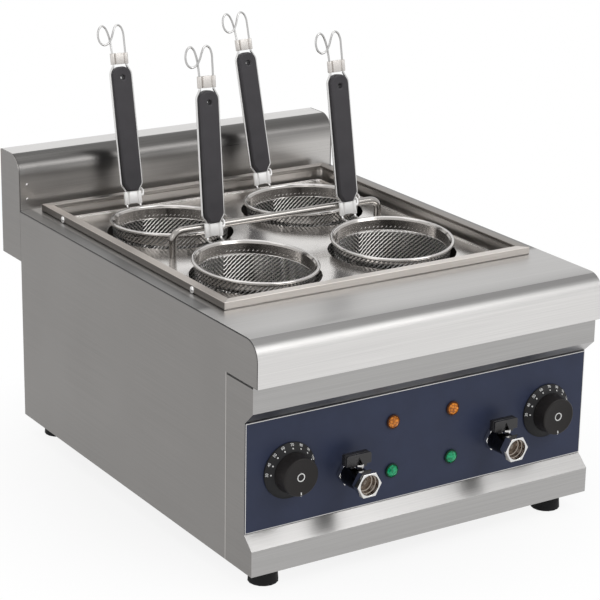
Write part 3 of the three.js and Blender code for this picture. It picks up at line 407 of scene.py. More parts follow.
def tube(path, radius, sides, closed=False):
    """A round wire through every point of a path, carried along without twist."""
    path = np.array([tuple(p) for p in path], float)
    count = len(path)
    if closed:
        tangents = np.roll(path, -1, 0) - np.roll(path, 1, 0)
    else:
        tangents = np.gradient(path, axis=0)
    tangents /= np.linalg.norm(tangents, axis=1)[:, None]
    helper = np.array((0, 1, 0)) if abs(tangents[0][1]) < 0.9 else np.array((1, 0, 0))
    normal = np.cross(helper, tangents[0])
    turns = np.arange(sides) / sides * 2 * math.pi
    points = []
    for middle, tangent in zip(path, tangents):
        normal = normal - tangent * normal.dot(tangent)
        normal /= np.linalg.norm(normal)
        side = np.cross(tangent, normal)
        points.append(middle + radius * (np.outer(np.cos(turns), normal) + np.outer(np.sin(turns), side)))
    faces = strips(count, sides, closed)
    if not closed:
        faces.append(tuple(range(sides))[::-1])
        faces.append(tuple(range((count - 1) * sides, count * sides)))
    return np.concatenate(points), faces


def bent(points, bend, steps):
    """Straight runs whose corners are rounded."""
    points = [Vector(p) for p in points]
    path = [points[0]]
    for before, corner, after in zip(points, points[1:], points[2:]):
        back, ahead = before - corner, after - corner
        reach = min(bend, back.length * 0.45, ahead.length * 0.45)
        start, end = corner + back.normalized() * reach, corner + ahead.normalized() * reach
        for i in range(steps + 1):
            t = i / steps
            path.append(start * (1 - t) ** 2 + corner * 2 * t * (1 - t) + end * t * t)
    path.append(points[-1])
    return path


def smooth_curve(points, steps):
    """A curve through every point, with its speed set by the spacing of the points."""
    points = [Vector(p) for p in points]
    ends = [points[0] * 2 - points[1], *points, points[-1] * 2 - points[-2]]
    path = []
    for a, b, c, d in zip(ends, ends[1:], ends[2:], ends[3:]):
        t0, t1, t2 = ((q - p).length ** 0.5 for p, q in ((a, b), (b, c), (c, d)))
        start = ((b - a) / t0 - (c - a) / (t0 + t1) + (c - b) / t1) * t1
        end = ((c - b) / t1 - (d - b) / (t1 + t2) + (d - c) / t2) * t1
        for i in range(steps):
            t = i / steps
            path.append(b * (2 * t ** 3 - 3 * t ** 2 + 1) + start * (t ** 3 - 2 * t ** 2 + t)
                        + c * (3 * t ** 2 - 2 * t ** 3) + end * (t ** 3 - t ** 2))
    path.append(points[-1])
    return path


def arc(cx, cy, radius, start, end, steps):
    turn = [start + (end - start) * i / steps for i in range(steps + 1)]
    return [(cx + radius * math.cos(a * DEG), cy + radius * math.sin(a * DEG)) for a in turn]


def filled(curve):
    """Points and faces of a filled curve or text."""
    holder = bpy.data.objects.new(curve.name, curve)
    bpy.context.scene.collection.objects.link(holder)
    bpy.context.view_layer.update()
    mesh = bpy.data.meshes.new_from_object(holder.evaluated_get(bpy.context.evaluated_depsgraph_get()))
    bpy.data.objects.remove(holder)
    points = np.array([v.co[:] for v in mesh.vertices], float)
    faces = [tuple(p.vertices) for p in mesh.polygons]
    bpy.data.meshes.remove(mesh)
    return points, faces


def pressed(name, outline, holes, half_depth, bevel):
    """A flat outline with holes, given thickness and rounded edges; it lies in XY, its middle at Z 0."""
    curve = bpy.data.curves.new(name, "CURVE")
    curve.dimensions = "2D"
    curve.fill_mode = "BOTH"
    curve.extrude = (half_depth - bevel) * MM
    curve.bevel_depth = bevel * MM
    curve.bevel_resolution = 3
    curve.offset = -bevel * MM
    for loop in (outline, *holes):
        spline = curve.splines.new("POLY")
        spline.points.add(len(loop) - 1)
        for point, (x, y) in zip(spline.points, loop):
            point.co = (x * MM, y * MM, 0, 1)
        spline.use_cyclic_u = True
    points, faces = filled(curve)
    return points / MM, faces


def soften(name, material, bevel=0.3, segments=2):
    """A CAD node that keeps its shape gets its finish, small rounded edges and smooth shading."""
    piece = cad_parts[name]
    mesh = piece.data
    if "custom_normal" in mesh.attributes:
        mesh.attributes.remove(mesh.attributes["custom_normal"])
    mesh.polygons.foreach_set("use_smooth", [True] * len(mesh.polygons))
    mesh.materials.clear()
    mesh.materials.append(material)
    weld = piece.modifiers.new("weld", "WELD")
    weld.merge_threshold = 0.01 * MM
    if bevel:
        edges = piece.modifiers.new("edges", "BEVEL")
        edges.width = bevel * MM
        edges.segments = segments
        edges.limit_method = "ANGLE"
        edges.angle_limit = SHARP * DEG
        edges.harden_normals = True
    return mesh


# Housing and tank: the CAD solids with their finish

soften("worktop", top_steel, 0.4)
for side, _ in SIDES:
    soften(f"side_panel_{side}", shaded_side_steel, 0.25)
    soften(f"upstand_cap_{side}", shaded_side_steel, 0.25)
    soften(f"heating_element_{side}", heater_steel, 0)
    soften(f"thermostat_{side}", inner_plastic, 0.5)
    soften(f"drain_pipe_{side}", inner_steel, 0.2)
soften("fascia", front_steel, 0.5)
overlay = soften("control_panel", overlay_blue, 0)
overlay.polygons.foreach_set("use_smooth", [False] * len(overlay.polygons))
soften("upstand", upstand_steel, 0.3)
soften("base_plate", inner_steel, 0.2)
soften("rear_panel", shaded_side_steel, 0.25)
for corner in ("front_left", "front_right", "rear_left", "rear_right"):
    soften(f"foot_{corner}", rubber, 0.8, 3)
soften("tank", tank_steel, 0.2)
soften("basket_rack", wire_steel, 0.3)
soften("terminal_block", inner_plastic, 0.4)
soften("cable_gland", rubber, 0.4)
soften("basket_plate", plate_steel, 0.25)


def dress(name, material, direction, least=0.9):
    """The faces of a CAD node that look one way get a material of their own, here a lighter or darker copy of
    its steel: painted light and shade.
    """
    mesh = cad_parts[name].data
    mesh.materials.append(material)
    for face in mesh.polygons:
        if face.normal.dot(Vector(direction)) > least:
            face.material_index = len(mesh.materials) - 1


# The fascia's side faces get the darker side steel: painted shade
for direction in SIDEWAYS:
    dress("fascia", shaded_side_steel, direction)
# The worktop's front lip gets the lit copy of its steel: painted light
dress("worktop", lit_lip_steel, (0, -1, 0), 0.3)
# The worktop's sideways faces get the near-black steel: painted shade
for direction in SIDEWAYS:
    dress("worktop", joint_shade_steel, direction)
# The upstand's top faces get the brighter steel: painted light
dress("upstand", highlight_steel, (0, 0, 1), 0.985)


def rail(name, corners, material, sideways=None):
    """One bar of the tank frame: its angle profile swept between two mitred corners."""
    (x0, y0), (x1, y1) = corners
    along = Vector((x1 - x0, y1 - y0, 0)).normalized()
    inward = Vector((-along.y, along.x, 0))
    edge, gap = 0.35, 0.12
    profile = [
        (0, FRAME_BOTTOM), (0, FRAME_TOP - edge), (edge, FRAME_TOP), (FRAME_BAR - edge, FRAME_TOP),
        (FRAME_BAR, FRAME_TOP - edge), (FRAME_BAR, FRAME_TOP - FRAME_LIP),
        (FRAME_LEG, FRAME_TOP - FRAME_LIP), (FRAME_LEG, FRAME_BOTTOM),
    ]
    points = []
    for x, y, sign in ((x0, y0, 1), (x1, y1, -1)):
        for depth, height in profile:
            points.append(tuple(Vector((x, y, height)) + inward * depth + along * sign * (depth + gap)))
    count = len(profile)
    faces = [*strips(2, count), tuple(range(count))[::-1], tuple(range(count, 2 * count))]
    faces = [face[::-1] for face in faces]
    piece = make(name, points, faces, material, "housing", "frame_steel", ["tank_frame"])
    # The outer face gets a darker copy of the frame steel: painted shade
    if sideways:
        piece.data.materials.append(sideways)
        piece.data.polygons[0].material_index = 1


CORNERS = [
    (-FRAME_SIDE, FRAME_FRONT), (FRAME_SIDE, FRAME_FRONT),
    (FRAME_SIDE, FRAME_REAR), (-FRAME_SIDE, FRAME_REAR),
]
# Each bar gets its lit or painted-shade copy of the frame steel
for name, start, end, material, sideways in (
    ("frame_front", 0, 1, rail_steel, None), ("frame_right", 1, 2, rail_steel_right_shaded, rail_steel_side_shaded),
    ("frame_rear", 2, 3, rail_steel_rear_shaded, None), ("frame_left", 3, 0, rail_steel_deep_shaded, rail_steel_side_shaded),
):
    rail(name, (CORNERS[start], CORNERS[end]), material, sideways)


def panel_edge():
    """The bare edge of the panel's sheet round the overlay: a real edge in a brighter steel, whose thin bright
    line is a painted highlight.
    """
    width, proud, sunk = 0.7, 0.12, 0.5
    middle, half_height = (PANEL_TOP + PANEL_BOTTOM) / 2, (PANEL_TOP - PANEL_BOTTOM) / 2
    points = []
    for inset, y in ((0, PANEL_FACE + sunk), (0, PANEL_FACE - proud), (width, PANEL_FACE - proud),
                     (width, PANEL_FACE + sunk)):
        points += [(sx * (PANEL_HALF_WIDTH - inset), y, middle + sz * (half_height - inset))
                   for sx, sz in ((-1, -1), (1, -1), (1, 1), (-1, 1))]
    make("panel_edge", points, strips(4, 4, True), highlight_steel, "housing", "housing_steel")


panel_edge()


def dome(radius, height, segments=20):
    """A low domed head that stands on a face, pointing up Z."""
    profile = [(radius, 0), (radius, height * 0.25)]
    profile += [(radius * math.cos(a * DEG), height * (0.25 + 0.75 * math.sin(a * DEG)))
                for a in (20, 40, 60, 75)]
    return lathe([*profile, (0, height)], segments)


def turned_to(part, direction):
    """Turns a part that points up Z so that it points along a direction."""
    points, faces = part
    turn = Vector((0, 0, 1)).rotation_difference(Vector(direction)).to_matrix()
    return points @ np.array(turn).T, faces


for side, sign in SIDES:
    heads = [moved(turned_to(dome(3.6, 2), (sign, 0, 0)), sign * FRAME_SIDE, y, SCREW_Z) for y in SCREW_ROWS]
    make(f"frame_screws_{side}", *join_parts(heads), nickel, "housing", "frame_steel")

rivets = [moved(turned_to(dome(1.3, 0.8), (0, -1, 0)), RIVET_X, UPSTAND_FRONT, z) for z in RIVET_ROWS]
make("upstand_rivets", *join_parts(rivets), nickel, "housing", "housing_steel")

lift = bent([
    (-LIFT_HALF, LIFT_Y, PLATE_TOP + CLEARANCE), (-LIFT_HALF, LIFT_Y, PLATE_TOP + LIFT_HEIGHT),
    (LIFT_HALF, LIFT_Y, PLATE_TOP + LIFT_HEIGHT), (LIFT_HALF, LIFT_Y, PLATE_TOP + CLEARANCE),
], LIFT_BEND, 12)
make("lift_handle", *tube(lift, LIFT_RADIUS, 20), tube_steel, "lift_plate", "wire_steel", ["plate_handle"])


# Controls

def knob(side, x):
    """A knob with a ring in the middle of its face and a tick that runs over its edge."""
    edge, top, foot = 1.3, KNOB_LENGTH, -KNOB_FACE_RADIUS
    profile = [(7, -6.1), (7, 0), (KNOB_RADIUS - 0.6, 0), (KNOB_RADIUS, 0.6), (KNOB_FACE_RADIUS, top - edge)]
    profile += [(KNOB_FACE_RADIUS - edge * (1 - math.cos(a * DEG)), top - edge * (1 - math.sin(a * DEG)))
                for a in (25, 50, 75, 90)]
    profile += [(KNOB_FACE_RADIUS - 3, top - 0.25), (6, top - 0.55), (4.4, top - 0.6), (4.3, top - 1.1),
                (0, top - 1.1)]
    back = SEAT - DIAL_THICKNESS - CLEARANCE
    body = f"knob_{side}"
    make(f"knob_form_{side}", *moved(lathe(profile, 72, "-y"), x, back, KNOB_Z), knob_black, body,
         "knob_plastic", [f"thermostat_knob_{side}"])
    mark = lathe([(4.2, top - 1.1), (4.2, top - 0.6), (4.0, top - 0.5), (3.4, top - 0.5), (3.3, top - 0.6),
                  (3.3, top - 1.1)], 40, "-y", True)
    make(f"knob_ring_{side}", *moved(mark, x, back, KNOB_Z), mark_white, body, "knob_plastic")
    rows = ((0.35, -14.3), (-0.03, foot + 1.6), (0.35, foot + 0.15), (3.2, foot - 0.12))
    tick = [(across, back - KNOB_LENGTH + depth, z) for depth, z in rows for across in (-0.55, 0.55)]
    faces = [(i, i + 1, i + 3, i + 2) for i in (0, 2, 4)]
    make(f"knob_tick_{side}", np.array(tick) + (x, 0, KNOB_Z), faces, mark_white, body, "knob_plastic")


def number(text, size):
    """Plain figures as a thin mesh, centred on the origin."""
    curve = bpy.data.curves.new("figures", "FONT")
    curve.body = text
    curve.size = size * 1.35
    curve.extrude = 0.08
    curve.offset = 0.02
    curve.align_x = "CENTER"
    curve.align_y = "CENTER"
    curve.resolution_u = 3
    return filled(curve)


def on_dial(part, radius, lift_off, angle):
    """Lays a flat part on the dial's sloping face, and turns it round the dial."""
    reach, drop = DIAL_RADIUS - DIAL_TOP_RADIUS, DIAL_THICKNESS - DIAL_EDGE
    slope = Vector((reach, 0, -drop)).normalized()
    normal = Vector((-slope.z, 0, slope.x))
    spot = Vector((radius, 0, DIAL_THICKNESS - (radius - DIAL_TOP_RADIUS) * drop / reach)) + normal * lift_off
    points, faces = part
    points = points @ np.array(Matrix(((0, -1, 0), slope, normal))) + np.array(spot)
    c, s = math.cos(angle), math.sin(angle)
    return np.stack([points[:, 0] * c - points[:, 1] * s, -points[:, 2],
                     points[:, 0] * s + points[:, 1] * c], 1), faces


def dial(side, x):
    """A flat ring round the knob, with a dot and a number at each step of heat."""
    profile = [(8, 0), (DIAL_RADIUS - 0.2, 0), (DIAL_RADIUS, 0.2), (DIAL_RADIUS, DIAL_EDGE - 0.2),
               (DIAL_RADIUS - 0.25, DIAL_EDGE + 0.1), (DIAL_TOP_RADIUS + 0.4, DIAL_THICKNESS - 0.2),
               (DIAL_TOP_RADIUS - 0.4, DIAL_THICKNESS), (8, DIAL_THICKNESS)]
    make(f"dial_{side}", *moved(lathe(profile, 96, "-y", True), x, SEAT, KNOB_Z), dial_black, "housing",
         "dial_plastic", [f"dial_ring_{side}"])
    marks = []
    for i in range(8):
        angle = (FIRST_MARK - MARK_STEP * i) * DEG
        dot = lathe([(0.78, -0.1), (0.78, 0.1), (0.6, 0.2), (0, 0.22)], 16)
        marks.append(on_dial(dot, DOT_PLACE, 0, angle))
        marks.append(on_dial(number(str(30 + 10 * i), NUMBER_SIZE), NUMBER_PLACE, 0.05, angle))
    make(f"dial_marks_{side}", *moved(join_parts(marks), x, SEAT, KNOB_Z), mark_white, "housing",
         "dial_plastic")


def lamp(name, stands_for, x, z, glass, rim, slot):
    """A dark flange with a faceted lens in it."""
    bezel = lathe([(5.0, -20), (5.0, -0.01), (6.9, 0), (7.2, 0.3), (7.2, 1.5), (6.8, 2.0), (6.1, 2.0),
                   (5.9, 1.2)], 40, "-y")
    make(f"{name}_bezel", *moved(bezel, x, SEAT, z), rim, "housing", "inner_plastic")
    facets = lathe([(6.1, 0.9), (5.9, 2.2), (4.0, 4.3), (1.9, 4.95), (0, 5.0)], 8, "-y")
    make(f"{name}_lens", *moved(facets, x, SEAT, z), glass, "housing", slot, [stands_for], sharp=12)


def hexagon(across_flats, first=60):
    """Corners of a hexagon from the first one's angle: 60 puts a flat on top, 90 a corner."""
    radius = across_flats / math.sqrt(3)
    turns = [(first + 60 * i) * DEG for i in range(6)]
    return [(radius * math.cos(turn), radius * math.sin(turn)) for turn in turns]


def facing_front(part, front, half_depth):
    """Turns an outline that lies in XY to face the front, with its front face at a given depth."""
    points, faces = part
    return np.stack([points[:, 0], -points[:, 2] + front + half_depth, points[:, 1]], 1), faces


def tap(side, x):
    """A drain tap: a body that ends in a hexagon with its outlet, and the wing lever over it."""
    circle = arc(0, 0, TAP_BORE, 360, 0, 40)[:-1]
    front = facing_front(pressed("tap_hex", hexagon(TAP_HEXAGON), [circle], 5, 0.6), TAP_FACE, 5)
    nut = facing_front(pressed("tap_nut", hexagon(TAP_NUT), [], 3, 0.6), 14.6, 3)
    bore, inner_faces = lathe([(TAP_BORE, 0.5), (TAP_BORE, 5), (9.4, 5.4), (9.3, 9.5), (8.2, 10), (8, 12.4),
                               (5, 12.6), (4.8, 17)], 40, "-y")
    bore = (bore * (1, -1, 1) + (0, TAP_FACE, 0), [face[::-1] for face in inner_faces])
    valve = lathe([(11.2, -14.7), (11.4, -14.0), (11.3, -6), (10.6, 6), (10.4, 8.4)], 48, "-y")
    for name, part, material in (("socket", join_parts([front, nut]), chrome), ("bore", bore, bore_steel),
                                 ("valve", valve, dark_chrome)):
        make(f"tap_{name}_{side}", *moved(part, x, 0, TAP_Z), material, "housing", "tap_chrome",
             [f"tap_body_{side}"])

    body = f"lever_{side}"
    low, wing, top, plate = 11.7, 14.16, 24.9, 3
    right = [(9.2, wing), (14, wing), (14, top - 1.2), (12.8, top)]
    left = [(-across, z) for across, z in right[::-1]]
    whole = [(-8.5, low), (8.5, low), *right, *left]
    notched = [(-8.5, low), (-5.2, low), (0, top - 3), (5.2, low), (8.5, low), *right, *left]
    face, rest = STEM_Y - LEVER_DEPTH / 2, (LEVER_DEPTH - plate) / 2
    layers = [
        facing_front(pressed("lever_back", whole, [], rest, 0.7), face + plate, rest),
        facing_front(pressed("lever_front", notched, [], plate / 2, 0.5), face, plate / 2),
    ]
    make(f"tap_wing_{side}", *moved(join_parts(layers), x, 0, TAP_Z), lever_black, body, "tap_plastic",
         [f"tap_lever_{side}"])
    bolt = moved(pressed("lever_nut", hexagon(7, 90), [], 1.9, 0.5), x, STEM_Y - 5, TAP_Z + low + 1.7)
    make(f"tap_nut_{side}", *bolt, nickel, body, "tap_chrome")
    ball = [(5, -6.2), *arc(0, 0, 8, -50, 50, 10), (5, 6.2)]
    stem = join_parts([lathe(ball, 40, "x", True), lathe([(3, 5), (3, low + 2)], 24)])
    make(f"tap_ball_{side}", *moved(stem, x, STEM_Y, TAP_Z), chrome, body, "tap_chrome")


for side, sign in SIDES:
    knob(side, sign * KNOB_X)
    dial(side, sign * KNOB_X)
    lamp(f"heat_{side}", f"heating_lamp_{side}", sign * LAMP_X, KNOB_Z + LAMP_PITCH / 2, amber, amber_rim,
         "amber_lens")
    lamp(f"power_{side}", f"power_lamp_{side}", sign * LAMP_X, KNOB_Z - LAMP_PITCH / 2, green, green_rim,
         "green_lens")
    tap(side, sign * TAP_X)


# Baskets

def wires(centres, first, second):
    """Square-section wires: each row of centres is one wire, with two directions across it."""
    corners = np.stack([centres + first, centres + second, centres - first, centres - second], 2)
    index = np.arange(corners.size // 3).reshape(corners.shape[:3])
    here, ahead = index[:, :-1], index[:, 1:]
    quads = np.stack([here, np.roll(here, -1, 2), np.roll(ahead, -1, 2), ahead], -1)
    return corners.reshape(-1, 3), [tuple(face) for face in quads.reshape(-1, 4).tolist()]


def bowl_profile():
    """The middle of the mesh at every row of crossings, down the wall and round into the floor."""
    half = BOWL_WALL / 2
    corner = arc(BOWL_FLOOR, -BASKET_DEPTH + BOWL_CORNER, BOWL_CORNER - half, 0, -90, 24)
    line = np.array([(BOWL_TOP - half, -WEAVE_START), *corner], float)
    lengths = np.concatenate([[0], np.cumsum(np.linalg.norm(np.diff(line, axis=0), axis=1))])
    rows = int(lengths[-1] / (WEAVE_SLANT * math.pi / WEAVE_COUNT)) + 1
    travel = np.linspace(0, lengths[-1], rows)
    radii, heights = (np.interp(travel, lengths, line[:, k]) for k in (0, 1))
    along = np.stack([np.gradient(radii), np.gradient(heights)], 1)
    along /= np.linalg.norm(along, axis=1)[:, None]
    return radii, heights, along, travel[1]


def woven_wall():
    """Two families of slanting wires, each going over and under the other at every crossing.

    One family is the thicker one on the right half of the bowl, and the other on the left half.
    """
    radii, heights, along, step = bowl_profile()
    rows = np.arange(len(radii))
    over = np.where(rows % 2, -1.0, 1.0) * WEAVE_LIFT / 2
    families = []
    for slant in (1, -1):
        angles = (2 * np.arange(WEAVE_COUNT)[:, None] + slant * rows[None]) * math.pi / WEAVE_COUNT
        c, s, level = np.cos(angles), np.sin(angles), np.ones_like(angles)
        outward = np.stack([-along[:, 1] * c, -along[:, 1] * s, along[:, 0] * level], 2)
        downward = np.stack([along[:, 0] * c, along[:, 0] * s, along[:, 1] * level], 2)
        sideways = np.stack([-s, c, 0 * level], 2)
        centres = np.stack([radii * c, radii * s, heights * level], 2)
        centres += outward * (slant * over)[:, None]
        run = slant * radii * math.pi / WEAVE_COUNT
        length = np.hypot(run, step)
        across = sideways * (step / length)[:, None] - downward * (run / length)[:, None]
        thickness = np.where(slant * c > 0, WEAVE_THICK, WEAVE_WIRE)[..., None]
        families.append(wires(centres, outward * thickness, across * thickness))
    return join_parts(families)


def woven_floor():
    """A flat woven disc that meets the wall."""
    parts = []
    limit = BOWL_FLOOR + 0.8
    count = int(limit / WEAVE_PITCH)
    for across in (0, 1):
        for row in range(-count, count + 1):
            offset = row * WEAVE_PITCH
            reach = math.sqrt(max(limit * limit - offset * offset, 0))
            steps = [c for c in range(-count - 1, count + 2) if abs(c * WEAVE_PITCH) < reach]
            if len(steps) < 2:
                continue
            spots = []
            for c in [steps[0] - 1, *steps, steps[-1] + 1]:
                along = max(-reach, min(reach, c * WEAVE_PITCH))
                over = WEAVE_LIFT / 2 if (c + row + across) % 2 else -WEAVE_LIFT / 2
                height = -BASKET_DEPTH + WEAVE_LIFT / 2 + WEAVE_WIRE + over
                spots.append((along, offset, height) if across == 0 else (offset, along, height))
            centres = np.array(spots)[None]
            sideways = (0, WEAVE_WIRE, 0) if across == 0 else (WEAVE_WIRE, 0, 0)
            parts.append(wires(centres, np.array(sideways), np.array((0, 0, WEAVE_WIRE))))
    return join_parts(parts)


def ring(radius, wire_radius, height, sides):
    turns = [2 * math.pi * i / RIM_STEPS for i in range(RIM_STEPS)]
    path = [(radius * math.cos(turn), radius * math.sin(turn), height) for turn in turns]
    return tube(path, wire_radius, sides, closed=True)


def from_basket(x, y, z):
    """A point of the basket's frame in the frame of its handle."""
    c, s = math.cos(HANDLE_LEAN * DEG), math.sin(HANDLE_LEAN * DEG)
    return (x, y * c - z * s, y * s + z * c)


def rod_path(side):
    """One of the two rods, from under the rim up to the top of the upper clamp."""
    x = side * HALF_RODS
    rod_out = GRIP_WIDTH / 2 + ROD_RADIUS + ROD_GAP
    under = -RIM_WIRE - ROD_RADIUS - CLEARANCE
    swing = GRIP_TOP_RADIUS + ROD_RADIUS + ROD_GAP
    pivot_x, pivot_z = GRIP_WIDTH / 2 - GRIP_TOP_RADIUS, GRIP_TOP - GRIP_TOP_RADIUS
    turn = math.pi / 12
    corner = swing * math.sin(turn * 3) / math.cos(turn)
    foot = bent([
        from_basket(x, RIM_RADIUS - HANDLE_OFFSET, under),
        from_basket(x, under * math.tan(HANDLE_LEAN * DEG), under),
        (x, 0, LOWER_CLAMP),
    ], ROD_FOOT_BEND, 6)
    shaft = bent([
        (x, 0, LOWER_CLAMP - ROD_BEND), (x, 0, LOWER_CLAMP + ROD_BEND),
        (side * rod_out, 0, GRIP_BOTTOM + GRIP_CHAMFER_HEIGHT * 0.8),
        (side * rod_out, 0, pivot_z + swing * math.tan(turn)),
        (side * (pivot_x + corner), 0, pivot_z + corner),
        (x, 0, UPPER_CLAMP_BOTTOM - ROD_BEND), (x, 0, WIRE_TOP),
    ], ROD_BEND, 4)
    return foot[:-1] + shaft


def loop_path():
    """The hanging loop and the arch above the upper clamp, bent from the same wire."""
    over = ROD_RADIUS + CLEARANCE
    spots = [
        (-8, 0, 0), (-8.1, 0.6, 8), (-8.5, 1, 14.5), (-10.4, 0.9, 22.5), (-13.2, 0.6, 28), (-17, 0.2, 30),
        (-21, 0, 26.8), (-23, -0.2, 19.8), (-21.4, -0.4, 12.8), (-17.2, -0.7, 9.4), (-12.2, -0.9, 10.8),
        (-7.8, -1, 16.2), (-4.4, -0.9, 24), (-1.6, -0.5, 28.6), (1.6, -0.2, 30), (5.2, 0, 28.2),
        (7.6, 0, 22.5), (8, 0, 13), (8, 0, 0),
    ]
    return smooth_curve([(x, y * over, z + WIRE_TOP) for x, y, z in spots], 6)


def grip_part():
    half = GRIP_WIDTH / 2
    outline = [
        (-half + GRIP_CHAMFER_WIDTH, GRIP_BOTTOM), (half - GRIP_CHAMFER_WIDTH, GRIP_BOTTOM),
        (half, GRIP_BOTTOM + GRIP_CHAMFER_HEIGHT),
        *arc(half - GRIP_TOP_RADIUS, GRIP_TOP - GRIP_TOP_RADIUS, GRIP_TOP_RADIUS, 0, 90, 8),
        *arc(-half + GRIP_TOP_RADIUS, GRIP_TOP - GRIP_TOP_RADIUS, GRIP_TOP_RADIUS, 90, 180, 8),
        (-half, GRIP_BOTTOM + GRIP_CHAMFER_HEIGHT),
    ]
    hole = arc(0, GRIP_TOP - GRIP_HOLE_DROP, GRIP_HOLE_RADIUS, 360, 0, 20)[:-1]
    points, faces = pressed("grip", outline, [hole], GRIP_THICKNESS / 2, GRIP_BEVEL)
    return np.stack([points[:, 0], -points[:, 2], points[:, 1]], 1), faces


def clamp_section():
    """Half a turn of the clamp's outline: a rib round one rod, a groove, and the plate up to its middle."""
    rib = ROD_RADIUS + CLEARANCE + CLAMP_WALL
    quarter = arc(HALF_RODS, 0, rib, 0, 125, 12)
    quarter += [(CLAMP_GROOVE, CLAMP_GROOVE_DEPTH), (CLAMP_PLATE + 0.25, CLAMP_PLATE_DEPTH - 0.35),
                (CLAMP_PLATE, CLAMP_PLATE_DEPTH), (CLAMP_PLATE * 0.5, CLAMP_PLATE_DEPTH + 0.12)]
    return quarter


def clamp_part(low, height, raised=0.0):
    """A pressed metal clamp: a flat plate between two ribs that wrap the rods."""
    quarter = clamp_section()
    left = [(-x, y) for x, y in quarter[::-1]]
    half = quarter + [(0, CLAMP_PLATE_DEPTH + 0.15)] + left
    section = np.array(half + [(x, -y) for x, y in half[::-1][1:-1]], float)
    run = np.roll(section, -1, 0) - np.roll(section, 1, 0)
    outward = np.stack([run[:, 1], -run[:, 0]], 1) / np.linalg.norm(run, axis=1)[:, None]
    edge, steps = 0.45, len(section)
    plate = np.abs(section[:, 0]) < CLAMP_GROOVE
    levels = [(0, edge), (edge * 0.3, edge * 0.3), (edge, 0), (height - edge, 0),
              (height - edge * 0.3, edge * 0.3), (height, edge)]
    points = []
    for z, inset in levels:
        up = np.where(plate, low + raised + z * (height - raised) / height, low + z)
        points.append(np.column_stack([section - outward * inset, up]))
    faces = strips(len(levels), steps)
    for start, reverse in ((0, True), ((len(levels) - 1) * steps, False)):
        for i in range(1, len(half) - 2):
            strip = (start + i, start + i + 1, start + (steps - i - 1) % steps, start + (steps - i) % steps)
            faces.append(strip if reverse else strip[::-1])
    return np.concatenate(points), faces


def rim_height(tilt_x, tilt_y):
    """How high the rim of a tilted basket is when it stands on the rack."""
    upright = math.cos(tilt_x * DEG) * math.cos(tilt_y * DEG)
    return RACK_TOP + CLEARANCE + BASKET_DEPTH * upright + BOWL_FLOOR * math.sqrt(1 - upright * upright)


def hook_part():
    """The short hook on the lower clamp that catches the lifting tube of the plate."""
    height = rim_height(FRONT_TILT, TOE_IN)
    tilt, lean = FRONT_TILT * DEG, (HANDLE_LEAN - FRONT_TILT) * DEG
    back = LIFT_Y - FRONT_ROW - HANDLE_OFFSET * math.cos(tilt)
    up = PLATE_TOP + LIFT_HEIGHT - height - HANDLE_OFFSET * math.sin(tilt)
    back, up = back * math.cos(lean) - up * math.sin(lean), back * math.sin(lean) + up * math.cos(lean)
    turn = LIFT_RADIUS + HOOK_RADIUS + CLEARANCE * 2
    curl = [(HOOK_REACH, back + turn * math.cos(a * DEG), up + turn * math.sin(a * DEG))
            for a in range(144, 38, -8)]
    root = HALF_RODS + ROD_RADIUS + CLEARANCE + CLAMP_WALL / 2
    start = [(root, 0, LOWER_CLAMP * 0.65), ((root + HOOK_REACH) / 2, 0, LOWER_CLAMP * 0.65)]
    return tube(smooth_curve(start + curl[::3] + [curl[-1]], 6), HOOK_RADIUS, 12)


def mesh_of(name, part, material):
    points, faces = part
    mesh = bpy.data.meshes.new(name)
    mesh.from_pydata([tuple(p) for p in np.asarray(points) * MM], [], faces)
    mesh.materials.append(material)
    return mesh


band_outside = BOWL_TOP - BOWL_WALL
band_inside = band_outside - BAND_SHEET
band_profile = [
    (band_outside, -BAND_HEIGHT), (band_outside, -BAND_TOP), (RIM_RADIUS - 1, 0.6), (RIM_RADIUS - 1.6, 0.6),
    (band_inside, -BAND_TOP), (band_inside, -BAND_HEIGHT),
]
rim = join_parts([ring(RIM_RADIUS, RIM_WIRE, 0, 14), ring(band_inside, 0.5, -BAND_HEIGHT, 8)])
rods = join_parts([tube(rod_path(side), ROD_RADIUS, 12) for side in (-1, 1)])
low_clamp = join_parts([clamp_part(0, LOWER_CLAMP, 1.0), hook_part()])
parts = {
    "weave": (join_parts([woven_wall(), woven_floor()]), weave_steel, "basket_steel", "basket_"),
    "rim": (rim, rim_steel, "basket_steel", "basket_"),
    "band": (lathe(band_profile, RIM_STEPS, "z", True), band_steel, "basket_steel", "basket_"),
    "rods": (rods, wire_steel, "wire_steel", "handle_wire_"),
    "loops": (tube(loop_path(), LOOP_WIRE, 12), shaded_loop_steel, "wire_steel", "handle_wire_"),
    "handle_grip": (grip_part(), grip_black, "grip_plastic", "grip_"),
    "low_clamp": (low_clamp, clamp_steel, "clamp_steel", "lower_clamp_"),
    "top_clamp": (clamp_part(UPPER_CLAMP_BOTTOM, UPPER_CLAMP), cap_steel, "clamp_steel", "upper_clamp_"),
}
meshes = {name: mesh_of(name, part, material) for name, (part, material, _, _) in parts.items()}

# The thinner wires of the wall get a darker copy of the weave steel, painted shade: the first family on the
# left, the second on the right
meshes["weave"].materials.append(shaded_thin_weave_steel)
one_family = WEAVE_COUNT * (len(bowl_profile()[0]) - 1) * 4
for face in meshes["weave"].polygons[:2 * one_family]:
    if (face.index < one_family) == (face.center.x < 0):
        face.material_index = 1
ON_HANDLE = ("rods", "loops", "handle_grip", "low_clamp", "top_clamp")

